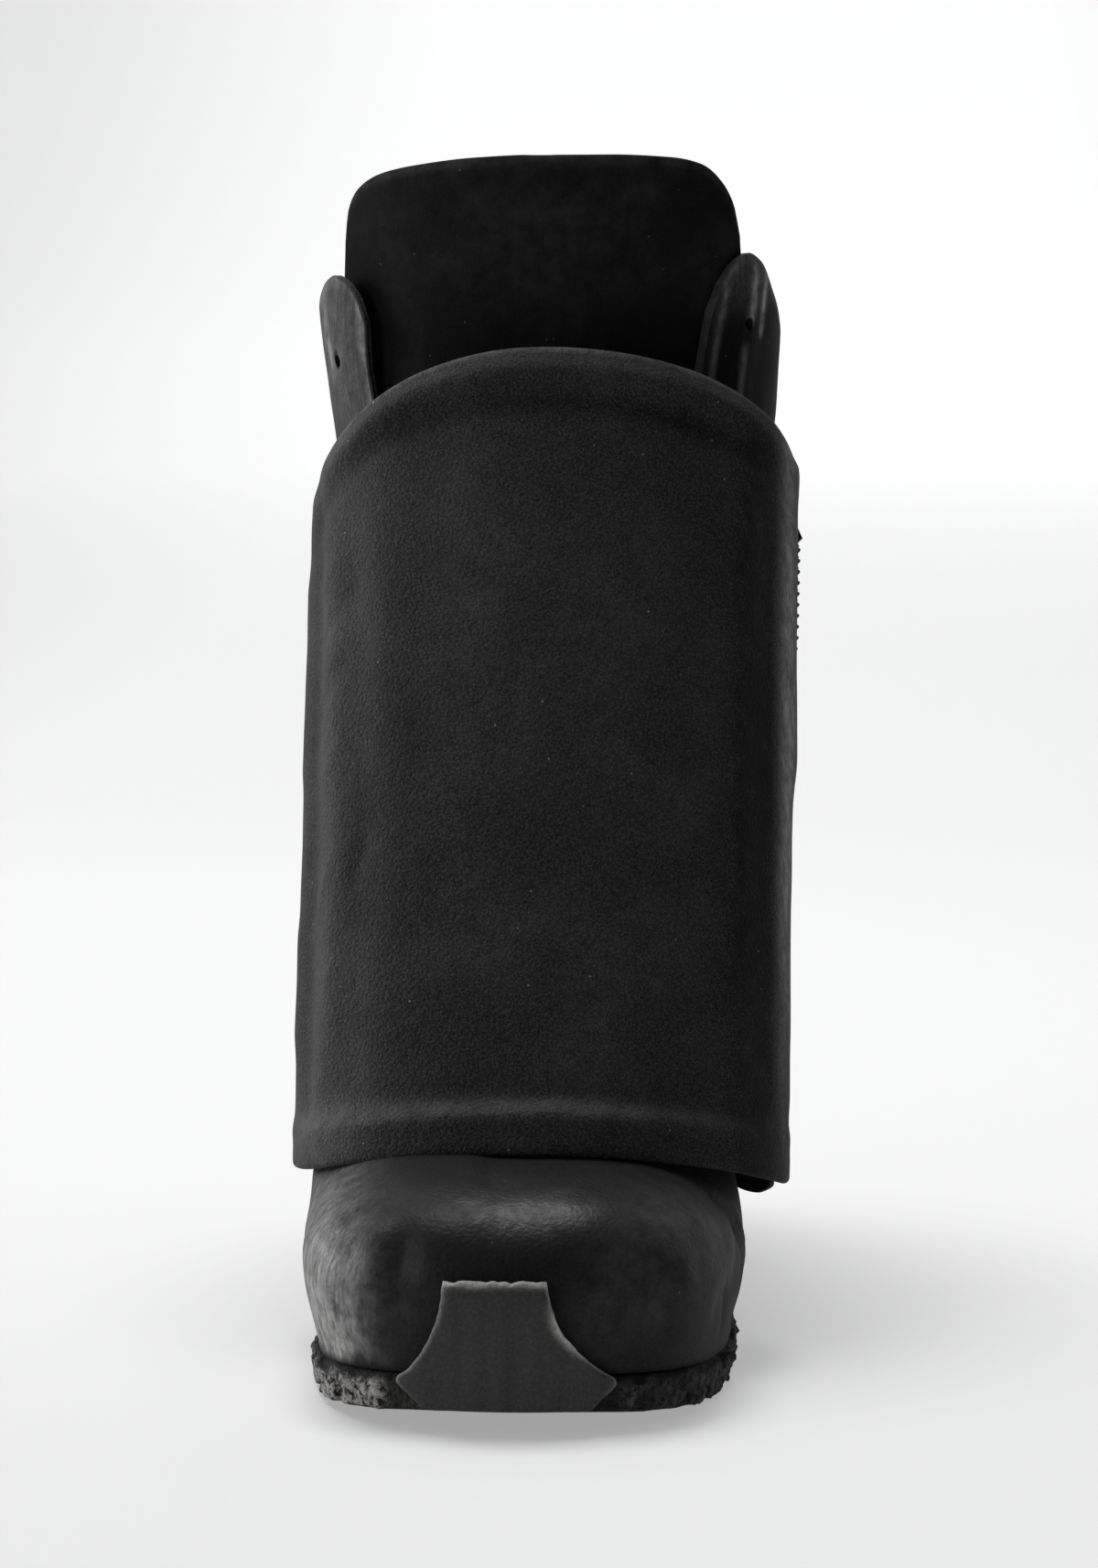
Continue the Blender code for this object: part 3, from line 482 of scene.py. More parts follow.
def wire(tree: bpy.types.NodeTree, node: bpy.types.Node, inputs: dict) -> None:
    """Set or link a node's inputs.

    Args:
        tree: Node tree of the node.
        node: Node that gets them.
        inputs: Values, or sockets to link from, by the input's name or number.
    """
    for key, value in inputs.items():
        if isinstance(value, bpy.types.NodeSocket):
            tree.links.new(value, node.inputs[key])
        else:
            node.inputs[key].default_value = value


def add_node(tree: bpy.types.NodeTree, kind: str, inputs: dict | None = None, **settings: object) -> bpy.types.Node:
    """Add one node.

    Args:
        tree: Node tree that gets it.
        kind: Node type.
        inputs: Values, or sockets to link from, by the input's name or number.
        settings: The node's own settings.

    Returns:
        The new node.
    """
    node = tree.nodes.new(kind)
    for key, value in settings.items():
        setattr(node, key, value)
    wire(tree, node, inputs or {})
    return node


def per_mm(size: float) -> float:
    """Texture scale for a pattern of this size in millimetres."""
    return 1.0 / (size * MM)


def noise_field(tree: bpy.types.NodeTree, where: bpy.types.NodeSocket, size: float, detail: float,
                roughness: float = 0.5) -> bpy.types.NodeSocket:
    """Cloudy pattern from 0 to 1, with clouds of one size in millimetres and finer ones over them."""
    inputs = {"Vector": where, "Scale": per_mm(size), "Detail": detail, "Roughness": roughness}
    return add_node(tree, "ShaderNodeTexNoise", inputs).outputs["Fac"]


def ranged(tree: bpy.types.NodeTree, value: bpy.types.NodeSocket, span: tuple[float, float],
           to: tuple[float, float] = (0.0, 1.0), clamp: bool = True) -> bpy.types.NodeSocket:
    """Value stretched from one range to another."""
    inputs = {"Value": value, "From Min": span[0], "From Max": span[1], "To Min": to[0], "To Max": to[1]}
    return add_node(tree, "ShaderNodeMapRange", inputs, clamp=clamp).outputs[0]


def worked(tree: bpy.types.NodeTree, operation: str, *values: object, clamp: bool = False) -> bpy.types.NodeSocket:
    """Result of one step of arithmetic."""
    return add_node(tree, "ShaderNodeMath", dict(enumerate(values)), operation=operation, use_clamp=clamp).outputs[0]


def toned(tree: bpy.types.NodeTree, share: bpy.types.NodeSocket, low: object, high: object) -> bpy.types.NodeSocket:
    """Colour between two others."""
    return add_node(tree, "ShaderNodeMix", {0: share, 6: low, 7: high}, data_type="RGBA").outputs[2]


def raised(tree: bpy.types.NodeTree, height: bpy.types.NodeSocket, depth: float, strength: float = 1.0,
           **under: bpy.types.NodeSocket) -> bpy.types.NodeSocket:
    """Normal of a relief of this depth in millimetres, over another normal where one is given."""
    inputs = {"Strength": strength, "Distance": depth * MM, "Height": height, **under}
    return add_node(tree, "ShaderNodeBump", inputs).outputs[0]


def paint_value(tree: bpy.types.NodeTree, paint: Paint) -> bpy.types.NodeSocket:
    """Painted value of the mesh."""
    return add_node(tree, "ShaderNodeAttribute", attribute_name=paint.value).outputs["Fac"]


def blank_material(name: str) -> tuple[bpy.types.Material, bpy.types.NodeTree, bpy.types.Node, bpy.types.NodeSocket]:
    """Start a material.

    Args:
        name: Name of the real material.

    Returns:
        The material, its node tree, its shader and the object coordinates.
    """
    material = bpy.data.materials.new(name)
    material.use_nodes = True
    tree = material.node_tree
    return material, tree, tree.nodes["Principled BSDF"], add_node(tree, "ShaderNodeTexCoord").outputs["Object"]


@dataclass(frozen=True)
class Leather:
    """Drum-dyed cowhide: a waxed or buffed face with pores, cloudy greying where it is rubbed, painted highlights and
    painted shade in the same grey, and dust.
    """

    name: str
    dye: str
    bloom: str
    roughness: float
    polished: float
    specular: float
    wax: float
    clouds: float
    nap: float
    pore_size: float
    pore_depth: float
    dust: float
    cloud_size: float = 26.0
    fleck_size: float = 5.0
    grain_size: float = 0.5
    line_pitch: float = 1.2
    line_stretch: float = 0.09
    line_depth: float = 0.3
    dust_cell: float = 7.5
    dust_tone: str = "#8b8a86"
    smear: float = 0.16
    fleck_relief: float = 2.2
    grain_relief: float = 1.6
    coat_roughness: float = 0.36

    def build(self) -> bpy.types.Material:
        """Make the material.

        Returns:
            The new material.
        """
        material, tree, shader, where = blank_material(self.name)
        # The grey value painted on the mesh: rubbed greying, and on some pieces painted highlights and painted shade
        haze, polish, streak = (paint_value(tree, paint) for paint in LEATHER_PAINTS)
        # Clouds of wax and rubbing, broken up by flecks, and the grain of the hide
        broad = noise_field(tree, where, self.cloud_size, 1.0, 0.62)
        fine = noise_field(tree, where, self.fleck_size, 3.0, 0.7)
        grain = noise_field(tree, where, self.grain_size, 1.0, 0.65)
        # Brushed lines that run up the shoe, drawn a little coarser than the real ones
        drawn = add_node(tree, "ShaderNodeMapping", {"Vector": where, "Scale": (1.0, 1.0, self.line_stretch)})
        lines = noise_field(tree, drawn.outputs[0], self.line_pitch, 1.0)
        cloud = ranged(tree, broad, (0.42, 0.72), (0.0, self.clouds))
        flecks = ranged(tree, fine, (0.3, 0.75), (0.25, 1.35))
        nap = ranged(tree, grain, (0.4, 0.68), (0.0, self.nap))
        lined = ranged(tree, lines, (0.35, 0.7), (0.66, 1.34))
        lined = add_node(tree, "ShaderNodeMix", {0: streak, 2: 1.0, 3: lined}).outputs[0]
        rubbed = worked(tree, "MULTIPLY", worked(tree, "ADD", haze, cloud), flecks)
        rubbed = worked(tree, "MULTIPLY_ADD", rubbed, lined, nap, clamp=True)
        colour = toned(tree, rubbed, linear(self.dye), linear(self.bloom))
        # Dust: one speck about 0.5 mm wide in some of the cells
        cells = add_node(tree, "ShaderNodeTexVoronoi", {"Vector": where, "Scale": per_mm(self.dust_cell)})
        speck = ranged(tree, cells.outputs["Distance"], (0.02, 0.044), (self.dust, 0.0))
        colour = toned(tree, speck, colour, linear(self.dust_tone))
        gloss = ranged(tree, polish, (0.0, 1.0), (self.roughness, self.polished), clamp=False)
        gloss = worked(tree, "MULTIPLY_ADD", fine, self.smear, gloss)
        gloss = worked(tree, "SUBTRACT", gloss, self.smear / 2)
        # Pebbles between the pores, with the flecks and the grain over them
        hide = ranged(tree, noise_field(tree, where, self.pore_size, 0.0), (0.3, 0.6))
        hide = worked(tree, "MULTIPLY_ADD", fine, self.fleck_relief, hide)
        hide = worked(tree, "MULTIPLY_ADD", grain, self.grain_relief, hide)
        face = raised(tree, hide, self.pore_depth)
        face = raised(tree, worked(tree, "MULTIPLY", lines, streak), self.line_depth, Normal=face)
        wax = ranged(tree, fine, (0.32, 0.68), (0.3 * self.wax, self.wax))
        wax = worked(tree, "MULTIPLY", polish, wax, clamp=True)
        wire(tree, shader, {"Base Color": colour, "Roughness": gloss, "Normal": face, "IOR": 1.5,
                            "Specular IOR Level": self.specular, "Coat Weight": wax, "Coat Normal": face,
                            "Coat Roughness": self.coat_roughness})
        return material


@dataclass(frozen=True)
class Rubber:
    """Vulcanised rubber, moulded smooth or left crumbly, paler where its edges are worn and where painted light falls
    on the sole's rim.
    """

    name: str
    dye: str
    worn: str
    roughness: float
    crumb_size: float
    crumb_depth: float
    crumb_share: float
    tips: tuple[float, float]
    drag: float
    drag_pitch: float = 3.0
    drag_stretch: float = 0.08

    def build(self) -> bpy.types.Material:
        """Make the material.

        Returns:
            The new material.
        """
        material, tree, shader, where = blank_material(self.name)
        crumb = noise_field(tree, where, self.crumb_size, 3.0, 0.72)
        # Mould drag: faint upright lines
        drawn = add_node(tree, "ShaderNodeMapping", {"Vector": where, "Scale": (1.0, 1.0, self.drag_stretch)})
        drag = noise_field(tree, drawn.outputs[0], self.drag_pitch, 2.0)
        grit = ranged(tree, crumb, (0.45, 0.72), (0.0, self.crumb_share))
        grit = worked(tree, "MULTIPLY_ADD", drag, self.drag, grit)
        edge = worked(tree, "MULTIPLY", ranged(tree, crumb, self.tips, (0.0, 1.2)), paint_value(tree, Paint.WORN))
        pale = worked(tree, "ADD", grit, edge, clamp=True)
        wire(tree, shader, {"Base Color": toned(tree, pale, linear(self.dye), linear(self.worn)),
                            "Normal": raised(tree, crumb, self.crumb_depth), "Roughness": self.roughness,
                            "Specular IOR Level": 0.3, "IOR": 1.52})
        return material


@dataclass(frozen=True)
class Webbing:
    """Herringbone cotton tape, woven in ribs about 0.9 mm wide."""

    name: str = "woven_cotton_tape"
    dye: str = "#0f0f10"
    lit: str = "#1f1f20"
    rib: float = 0.9
    rib_depth: float = 0.25

    def build(self) -> bpy.types.Material:
        """Make the material.

        Returns:
            The new material.
        """
        material, tree, shader, where = blank_material(self.name)
        # The node's own wave repeats 20 / (2 pi) times per metre; half of each repeat is rib, half groove
        repeats = per_mm(self.rib) / 20 * math.pi
        ribs = add_node(tree, "ShaderNodeTexWave", {"Vector": where, "Scale": repeats, "Distortion": 1.5, "Detail": 2.0,
                                                    "Detail Scale": 3.0}, bands_direction="Z").outputs["Fac"]
        wire(tree, shader, {"Base Color": toned(tree, ribs, linear(self.dye), linear(self.lit)),
                            "Normal": raised(tree, ribs, self.rib_depth, 0.8), "Roughness": 0.85,
                            "Specular IOR Level": 0.2})
        return material


@dataclass(frozen=True)
class BlackenedMetal:
    """Cast zinc, blackened and tumbled, so its high spots shine a little."""

    name: str = "blackened_zinc"
    dark: str = "#1d1d1f"
    bright: str = "#4c4c4e"
    wear_size: float = 1.2

    def build(self) -> bpy.types.Material:
        """Make the material.

        Returns:
            The new material.
        """
        material, tree, shader, where = blank_material(self.name)
        rubbed = ranged(tree, noise_field(tree, where, self.wear_size, 3.0), (0.45, 0.7))
        wire(tree, shader, {"Base Color": toned(tree, rubbed, linear(self.dark), linear(self.bright)),
                            "Metallic": 0.9, "Roughness": 0.42})
        return material


@dataclass(frozen=True)
class Thread:
    """Bonded polyester sewing thread, lightly waxed and twisted."""

    name: str = "waxed_black_thread"
    dye: str = "#171718"
    lit: str = "#3a3a3a"
    twist_size: float = 0.8
    twist_depth: float = 0.12

    def build(self) -> bpy.types.Material:
        """Make the material.

        Returns:
            The new material.
        """
        material, tree, shader, where = blank_material(self.name)
        twist = noise_field(tree, where, self.twist_size, 2.0)
        wire(tree, shader, {"Base Color": toned(tree, twist, linear(self.dye), linear(self.lit)),
                            "Normal": raised(tree, twist, self.twist_depth, 0.6), "Roughness": 0.6})
        return material


@dataclass(frozen=True)
class PaperSweep:
    """Matte white background paper, lit from behind so that it stays pale far from the lamps."""

    name: str = "white_background_paper"
    tone: str = "#e7e7e7"
    tooth: str = "#ebebeb"
    glow: tuple[float, float] = (0.35, 0.78)
    glow_depth: tuple[float, float] = (0.9, 3.0)
    glow_side: tuple[float, float] = (0.26, 0.6)
    side_share: float = 0.75
    tooth_size: float = 2.0

    def build(self) -> bpy.types.Material:
        """Make the material.

        Returns:
            The new material.
        """
        material, tree, shader, where = blank_material(self.name)
        tooth = noise_field(tree, where, self.tooth_size, 0.0)
        split = add_node(tree, "ShaderNodeSeparateXYZ", {"Vector": where}).outputs
        deep = ranged(tree, split["Y"], self.glow_depth, self.glow)
        aside = ranged(tree, worked(tree, "ABSOLUTE", split["X"]), self.glow_side, (1.0, self.side_share))
        wire(tree, shader, {"Base Color": toned(tree, tooth, linear(self.tone), linear(self.tooth)),
                            "Roughness": 0.95, "Specular IOR Level": 0.0, "Emission Color": (1.0, 1.0, 1.0, 1.0),
                            "Emission Strength": worked(tree, "MULTIPLY", deep, aside)})
        material.cycles.emission_sampling = "NONE"
        return material


# Upper: near black wax with a soft sheen, greyed and brushed where it is rubbed
UPPER_LEATHER = Leather("waxed_cowhide", dye="#0c0c0d", bloom="#898988", roughness=0.74, polished=0.5, specular=0.13,
                        wax=0.8, clouds=0.04, nap=0.03, pore_size=1.1, pore_depth=0.035, dust=0.3)
# Flap: matte black with a fine pale nap and a few specks of dust
FLAP_LEATHER = Leather("buffed_cowhide", dye="#101011", bloom="#7a7a79", roughness=0.72, polished=0.5, specular=0.13,
                       wax=0.0, clouds=0.06, nap=0.15, pore_size=0.9, pore_depth=0.12, dust=0.8)
# Tongue: plain soft black that hardly shines
TONGUE_LEATHER = Leather("soft_dyed_calf", dye="#121213", bloom="#3c3b3a", roughness=0.82, polished=0.6, specular=0.01,
                         wax=0.0, clouds=0.2, nap=0.08, pore_size=0.8, pore_depth=0.04, dust=0.25)
# Lining: dull black, coarser pores, seen only down the shaft
LINING_LEATHER = Leather("lining_pigskin", dye="#0e0e0f", bloom="#2c2b2a", roughness=0.7, polished=0.6, specular=0.2,
                         wax=0.0, clouds=0.3, nap=0.1, pore_size=1.4, pore_depth=0.06, dust=0.0)
# Cut edges: inked fibres, paler and rougher than the face
CUT_EDGE = Leather("cut_and_inked_edge", dye="#0c0c0c", bloom="#454443", roughness=0.6, polished=0.5, specular=0.25,
                   wax=0.0, clouds=0.5, nap=0.2, pore_size=0.7, pore_depth=0.08, dust=0.0)
# Sole: dull crumbly black with pale worn tips, and painted light and painted shade on its rim
SOLE_RUBBER = Rubber("crumbly_sole_rubber", dye="#0a0a0a", worn="#8f8d89", roughness=0.92, crumb_size=1.7,
                     crumb_depth=1.0, crumb_share=0.03, tips=(0.42, 0.62), drag=0.0)
# Bumper: smooth dark grey with a pale torn edge
BUMPER_RUBBER = Rubber("smooth_moulded_rubber", dye="#161617", worn="#aaa9a5", roughness=0.62, crumb_size=0.8,
                       crumb_depth=0.05, crumb_share=0.05, tips=(0.2, 0.5), drag=0.06)


# The last and the pieces made over it


@dataclass(frozen=True)
class Last:
    """Outside of the upper, from the sizes of the last it was pulled over."""

    toe: float = 3.2
    heel: float = 287.0
    centre: float = -2.0
    toe_box_power: float = 3.3
    shaft_power: float = 2.1
    foot_level: float = 9.0
    throat_level: float = 70.0
    swell_lateral: float = 7.0
    swell_medial: float = 4.6
    swell_power: float = 1.3
    swell_cap: float = 120.0
    swell_full: float = 40.0
    swell_fade: tuple[float, float] = (110.0, 215.0)
    heel_shift: tuple[float, float] = (215.0, 287.0)
    heel_blend: tuple[float, float] = (95.0, 165.0)
    shaft_blend: tuple[float, float] = (28.0, 125.0)
    shaft_only: tuple[float, float] = (100.0, 125.0)
    collar_meet: tuple[float, float] = (60.0, 120.0)
    ridge_steep: float = 40.0
    ridge_overrun: float = 4.0
    ridge_points: int = 1500
    contour_points: int = 420
    plan_lateral: Profile = Profile(
        (3.2, 6, 12, 22, 38, 58, 82, 104, 135, 170, 205, 240, 262, 276, 284, 287),
        (0, 20.5, 32.5, 41.2, 46.8, 49.3, 50, 50.2, 47, 41.5, 38, 36.5, 33.5, 25.5, 14, 0))
    plan_medial: Profile = Profile(
        (3.2, 6, 12, 22, 38, 58, 82, 104, 135, 170, 205, 240, 262, 276, 284, 287),
        (0, 20.5, 32.5, 41.5, 47.5, 50.8, 51.6, 49.5, 41.5, 35, 34.5, 36, 33.5, 25.5, 14, 0))
    feather_side: Profile = Profile((0, 20, 45, 72, 110, 150, 190, 230, 290),
                                    (14.5, 12.2, 10, 9, 9.4, 13, 17.6, 20.6, 22))
    ridge_side: Profile = Profile(
        (3.2, 4.2, 6.5, 10.5, 16, 22, 30, 39, 47, 55, 64, 80, 100, 118, 133, 144, 150.5, 153.5),
        (28, 34.5, 41, 46.2, 50.2, 52.7, 54.3, 55.1, 55.6, 56.1, 57.0, 59.6, 70, 84, 101, 121, 143, 172))
    shaft_back: Profile = Profile((22, 40, 62, 90, 120, 160, 205, 245, 300),
                                  (287, 289.8, 288.2, 282.5, 277.5, 275, 274.5, 275.5, 277))
    shaft_lateral: Profile = Profile((22, 40, 62, 90, 120, 160, 205, 245, 300),
                                     (37.5, 39.5, 41.5, 45, 49, 52.8, 55.4, 59.3, 61.4))
    shaft_medial: Profile = Profile((22, 40, 62, 90, 120, 160, 205, 245, 300),
                                    (37, 39, 41, 44.5, 48.5, 54, 58.5, 61.5, 63))
    throat: Profile = Profile((70, 100, 130, 170, 225, 270), (17, 20, 25, 33, 44, 52.5))
    growth_lateral: Profile = Profile((195, 236, 262, 270), (0.0, 2.0, 5.6, 5.8))
    growth_medial: Profile = Profile((190, 245, 270), (0.0, 4.8, 4.8))
    collar_lift: Profile = Profile((0, 3, 7, 11.5, 17, 30, 50, 80, 140),
                                   (0.52, 0.8, 0.95, 1.0, 0.94, 0.62, 0.22, 0.0, 0.1))
    collar_back: float = 240.0
    ear_lateral: float = 264.0
    ear_medial: float = 270.0

    def ridge(self, station: np.ndarray) -> np.ndarray:
        """Height of the top ridge of toe, vamp and instep."""
        beyond = np.maximum(0.0, station - self.ridge_side.places[-1])
        return self.ridge_side.at(station) + self.ridge_steep * beyond

    @cached_property
    def ridge_line(self) -> tuple[np.ndarray, np.ndarray]:
        """Stations along the ridge and their heights."""
        stations = np.linspace(self.toe, self.ridge_side.places[-1] + self.ridge_overrun, self.ridge_points)
        return stations, self.ridge(stations)

    def plan_half(self, station: np.ndarray, side: Side) -> np.ndarray:
        """Half width of the line where upper and sole meet.

        Args:
            station: Places along the shoe.
            side: Half of the shoe.

        Returns:
            Distances from the last's middle plane.
        """
        turn = np.arccos(1 - 2 * np.clip((station - self.toe) / (self.heel - self.toe), 0.0, 1.0))
        table = of_side(self, "plan", side)
        share = (np.array(table.places) - self.toe) / (self.heel - self.toe)
        return Profile(tuple(np.arccos(1 - 2 * share)), table.sizes).at(turn)

    def half_width(self, station: np.ndarray, height: np.ndarray, side: Side) -> np.ndarray:
        """Half width of the upper's outside.

        Args:
            station: Places along the shoe.
            height: Heights there.
            side: Half of the shoe.

        Returns:
            Distances from the last's middle plane.
        """
        back = self.shaft_back.at(height)
        plan = self.plan_half(station - (back - self.heel) * ease(station, *self.heel_shift), side)
        foot = self.feather_side.at(station)
        ridge = self.ridge(station)
        lift = np.clip((height - foot) / np.maximum(ridge - foot, 1.0), 0.0, 1.0)
        low = np.clip((height - foot) / np.maximum(np.minimum(ridge, self.swell_cap) - foot, 1.0), 0.0, 1.0)
        swell = of_side(self, "swell", side) * np.sin(math.pi * low ** self.swell_power)
        swell = swell * np.minimum(plan / self.swell_full, 1.0) * (1 - ease(station, *self.swell_fade))
        vamp = (plan + swell) * (1 - lift ** self.toe_box_power) ** (1 / self.toe_box_power)
        front = np.interp(height, self.ridge_line[1], self.ridge_line[0])
        share = np.clip((station - front) / (back - front), 0.0, 1.0)
        ring = (1 - np.abs(2 * share - 1) ** self.shaft_power) ** (1 / self.shaft_power)
        weight = ease(height, *self.shaft_blend) * ease(station, *self.heel_blend)
        weight = np.maximum(weight, ease(height, *self.shaft_only))
        return vamp + (of_side(self, "shaft", side).at(height) * ring - vamp) * weight

    def level_height(self, station: np.ndarray, level: float) -> np.ndarray:
        """Height of a level: the sole line at foot_level, flat from throat_level up.

        Args:
            station: Places along the shoe.
            level: Name of the level, its height over the flat part of the foot.

        Returns:
            Heights there.
        """
        foot = self.feather_side.at(station)
        share = max(0.0, (level - self.foot_level) / (self.throat_level - self.foot_level))
        return np.where(level >= self.throat_level, level, foot + (self.throat_level - foot) * share)

    def contour(self, level: float, side: Side) -> np.ndarray:
        """Half outline on a level.

        Args:
            level: Level, as in level_height.
            side: Half of the shoe.

        Returns:
            Points from the front line to the heel.
        """
        stations, heights = self.ridge_line
        front = stations[int(np.argmax(heights >= self.level_height(stations, level)))]
        back = self.shaft_back.at(self.level_height(self.heel, level))
        turn = np.linspace(0.0, math.pi, self.contour_points)
        station = front + (back - front) * (1 - np.cos(turn)) / 2
        height = self.level_height(station, level)
        half = self.half_width(station, height, side)
        half[[0, -1]] = 0.0
        return np.column_stack((self.centre + side.value * half, station, height))

    def throat_share(self, line: np.ndarray, level: float, side: Side) -> float:
        """Share of a half outline that lies in front of the throat's edge.

        Args:
            line: Half outline.
            level: Its level.
            side: Half of the shoe.

        Returns:
            Share of the outline's length.
        """
        half = float(self.throat.at(level) - of_side(self, "growth", side).at(level))
        out = side.value * (line[:, 0] - self.centre)
        run = arc_lengths(line)
        first = int(np.argmax(out >= half))
        span = (half - out[first - 1]) / (out[first] - out[first - 1])
        return float((run[first - 1] + span * (run[first] - run[first - 1])) / run[-1])

    def collar_top(self, distance: np.ndarray, side: Side) -> np.ndarray:
        """Height of the collar.

        Args:
            distance: Distances back from the throat's edge.
            side: Half of the shoe.

        Returns:
            Heights there.
        """
        own = of_side(self, "ear", side)
        top = own + (self.ear_lateral - own) * ease(distance, *self.collar_meet)
        return self.collar_back + self.collar_lift.at(distance) * (top - self.collar_back)


LAST = Last()


@dataclass
class Upper:
    """Hollow leather upper: toe box, quarters and shaft in one wall, with two punched ears."""

    wall: float = 2.4
    toe_columns: int = 22
    quarter_columns: int = 150
    foot_rows: int = 52
    shaft_rows: int = 74
    crowding: float = 0.35
    traced: int = 280
    hole_diameter: float = 3.2
    setback_lateral: float = 13.8
    setback_medial: float = 15.2
    hole_lateral: float = 242.0
    hole_medial: float = 252.0
    punch_depth: float = 14.0
    punch_sides: int = 28
    least_step: float = 0.01
    lateral_fade: tuple[float, float] = (-14.0, -6.0)
    medial_fade: tuple[float, float] = (2.0, 10.0)
    foot_fade: tuple[float, float] = (1.0, 10.0)
    rim_fade: tuple[float, float] = (2.0, 6.0)
    toe_fold_fade: tuple[float, float] = (24.0, 36.0)
    toe_paint_fade: tuple[float, float] = (60.0, 115.0)
    edge_bloom: float = 0.3
    edge_fade: tuple[float, float] = (60.0, 90.0)
    # Ragged band of painted shade just above the foot line, in the gap to the sole
    ragged: Wave = Wave(1.6, 4.0, 43.0)
    painted_gap_shade_fade: tuple[float, float] = (1.0, 3.4)
    waves: tuple[Wave, ...] = (Wave(0.3, 24.0, 3.0), Wave(0.12, 9.0, 5.0))
    folds: tuple[Fold, ...] = (
        Fold(((186, 270), (186, 256)), 25.0, 3.2, Side.LATERAL),
        Fold(((166, 274), (174, 250)), 20.0, -1.5, Side.MEDIAL),
        Fold(((187, 262), (183, 240), (178, 216)), 4.5, 1.0, Side.MEDIAL),
        Fold(((178, 258), (174, 238), (170, 214)), 3.2, -0.7, Side.MEDIAL),
        Fold(((60, 14), (58, 30), (64, 44)), 6.0, -0.45, Side.LATERAL),
        Fold(((34, 49), (110, 52)), 8.0, 1.3, Side.LATERAL),
        Fold(((34, 28), (110, 29)), 10.0, -0.9, Side.LATERAL),
        Fold(((92, 16), (100, 34), (112, 50)), 5.0, -0.8, Side.LATERAL),
        Fold(((104, 14), (114, 32), (126, 46)), 5.0, 0.5, Side.LATERAL),
        Fold(((150, 62), (176, 78), (204, 84)), 6.5, -1.2, Side.LATERAL),
        Fold(((154, 76), (182, 94), (210, 98)), 6.0, 0.7, Side.LATERAL),
        Fold(((176, 118), (206, 108), (236, 112)), 8.0, -1.1, Side.LATERAL),
        Fold(((186, 160), (216, 150), (246, 158)), 10.0, -0.9, Side.LATERAL),
        Fold(((64, 45), (67, 40), (70, 32), (73, 22), (75, 12)), 2.4, -0.8, Side.MEDIAL),
        Fold(((69, 45), (72, 40), (75, 32), (78, 22), (80, 12)), 2.8, 0.8, Side.MEDIAL),
        Fold(((66, 36), (52, 28), (36, 24)), 4.5, -0.9, Side.MEDIAL),
        Fold(((58, 42), (44, 37), (26, 36)), 5.0, -0.6, Side.MEDIAL),
        Fold(((56, 48), (40, 44)), 5.0, 0.4, Side.MEDIAL),
        Fold(((44, 9), (43, 26)), 2.0, -0.5, Side.MEDIAL),
        Fold(((96, 14), (106, 30), (118, 42)), 5.0, -0.8, Side.MEDIAL),
        Fold(((156, 60), (182, 74), (206, 78)), 6.5, -1.0, Side.MEDIAL),
        Fold(((160, 74), (186, 90), (212, 94)), 6.0, 0.6, Side.MEDIAL),
        Fold(((182, 122), (212, 112), (240, 118)), 8.0, -1.0, Side.MEDIAL),
        Fold(((190, 168), (220, 158), (248, 166)), 10.0, -0.8, Side.MEDIAL),
        Fold(((262, 116), (278, 108)), 6.0, -0.7),
        Fold(((262, 92), (282, 88)), 6.0, -0.6),
    )
    toe_folds: tuple[Fold, ...] = (
        Fold(((-29, 17), (-29, 32), (-27, 42)), 3.2, -1.25),
        Fold(((-36.5, 13), (-36.5, 30), (-34, 44)), 3.8, 1.0),
        Fold(((31, 18), (34, 36)), 5.0, -0.7),
        Fold(((8, 38), (22, 42)), 6.0, -0.25),
    )
    toe_patches: tuple[Patch, ...] = (
        # Paler lateral toe side: partly rubbed greying, partly painted sheen where the side light catches it
        Patch(Paint.HAZE, (-49, 24), (10.5, 22), 1.0),
        Patch(Paint.HAZE, (-46, 12), (9, 8), 0.45),
        Patch(Paint.HAZE, (-39, 28), (5.5, 20), 0.16),
        Patch(Paint.HAZE, (30, 38), (14, 15), 0.1),
        Patch(Paint.HAZE, (-8, 47), (20, 9), -0.04),
        Patch(Paint.POLISH, (6, 51.5), (19, 7), 0.52),
        Patch(Paint.STREAK, (-49, 26), (12, 24), 1.0),
    )
    patches: tuple[Patch, ...] = (
        Patch(Paint.POLISH, (24, 46), (36, 24), 0.25),
        Patch(Paint.STREAK, (62, 28), (42, 30), 0.95, Side.LATERAL),
        Patch(Paint.STREAK, (72, 20), (32, 14), 0.35, Side.MEDIAL),
        Patch(Paint.HAZE, (184, 248), (18, 30), 0.24, Side.LATERAL),
        Patch(Paint.HAZE, (188, 264), (11, 8), 0.22, Side.MEDIAL),
        # Darker lower medial ear: painted shade
        Patch(Paint.HAZE, (185, 228), (17, 26), -0.14, Side.MEDIAL),
        Patch(Paint.POLISH, (186, 234), (22, 36), -0.9, Side.MEDIAL),
        Patch(Paint.STREAK, (184, 246), (24, 34), 0.8),
        Patch(Paint.HAZE, (284, 60), (18, 50), 0.06),
        Patch(Paint.HAZE, (200, 90), (60, 26), 0.05),
    )
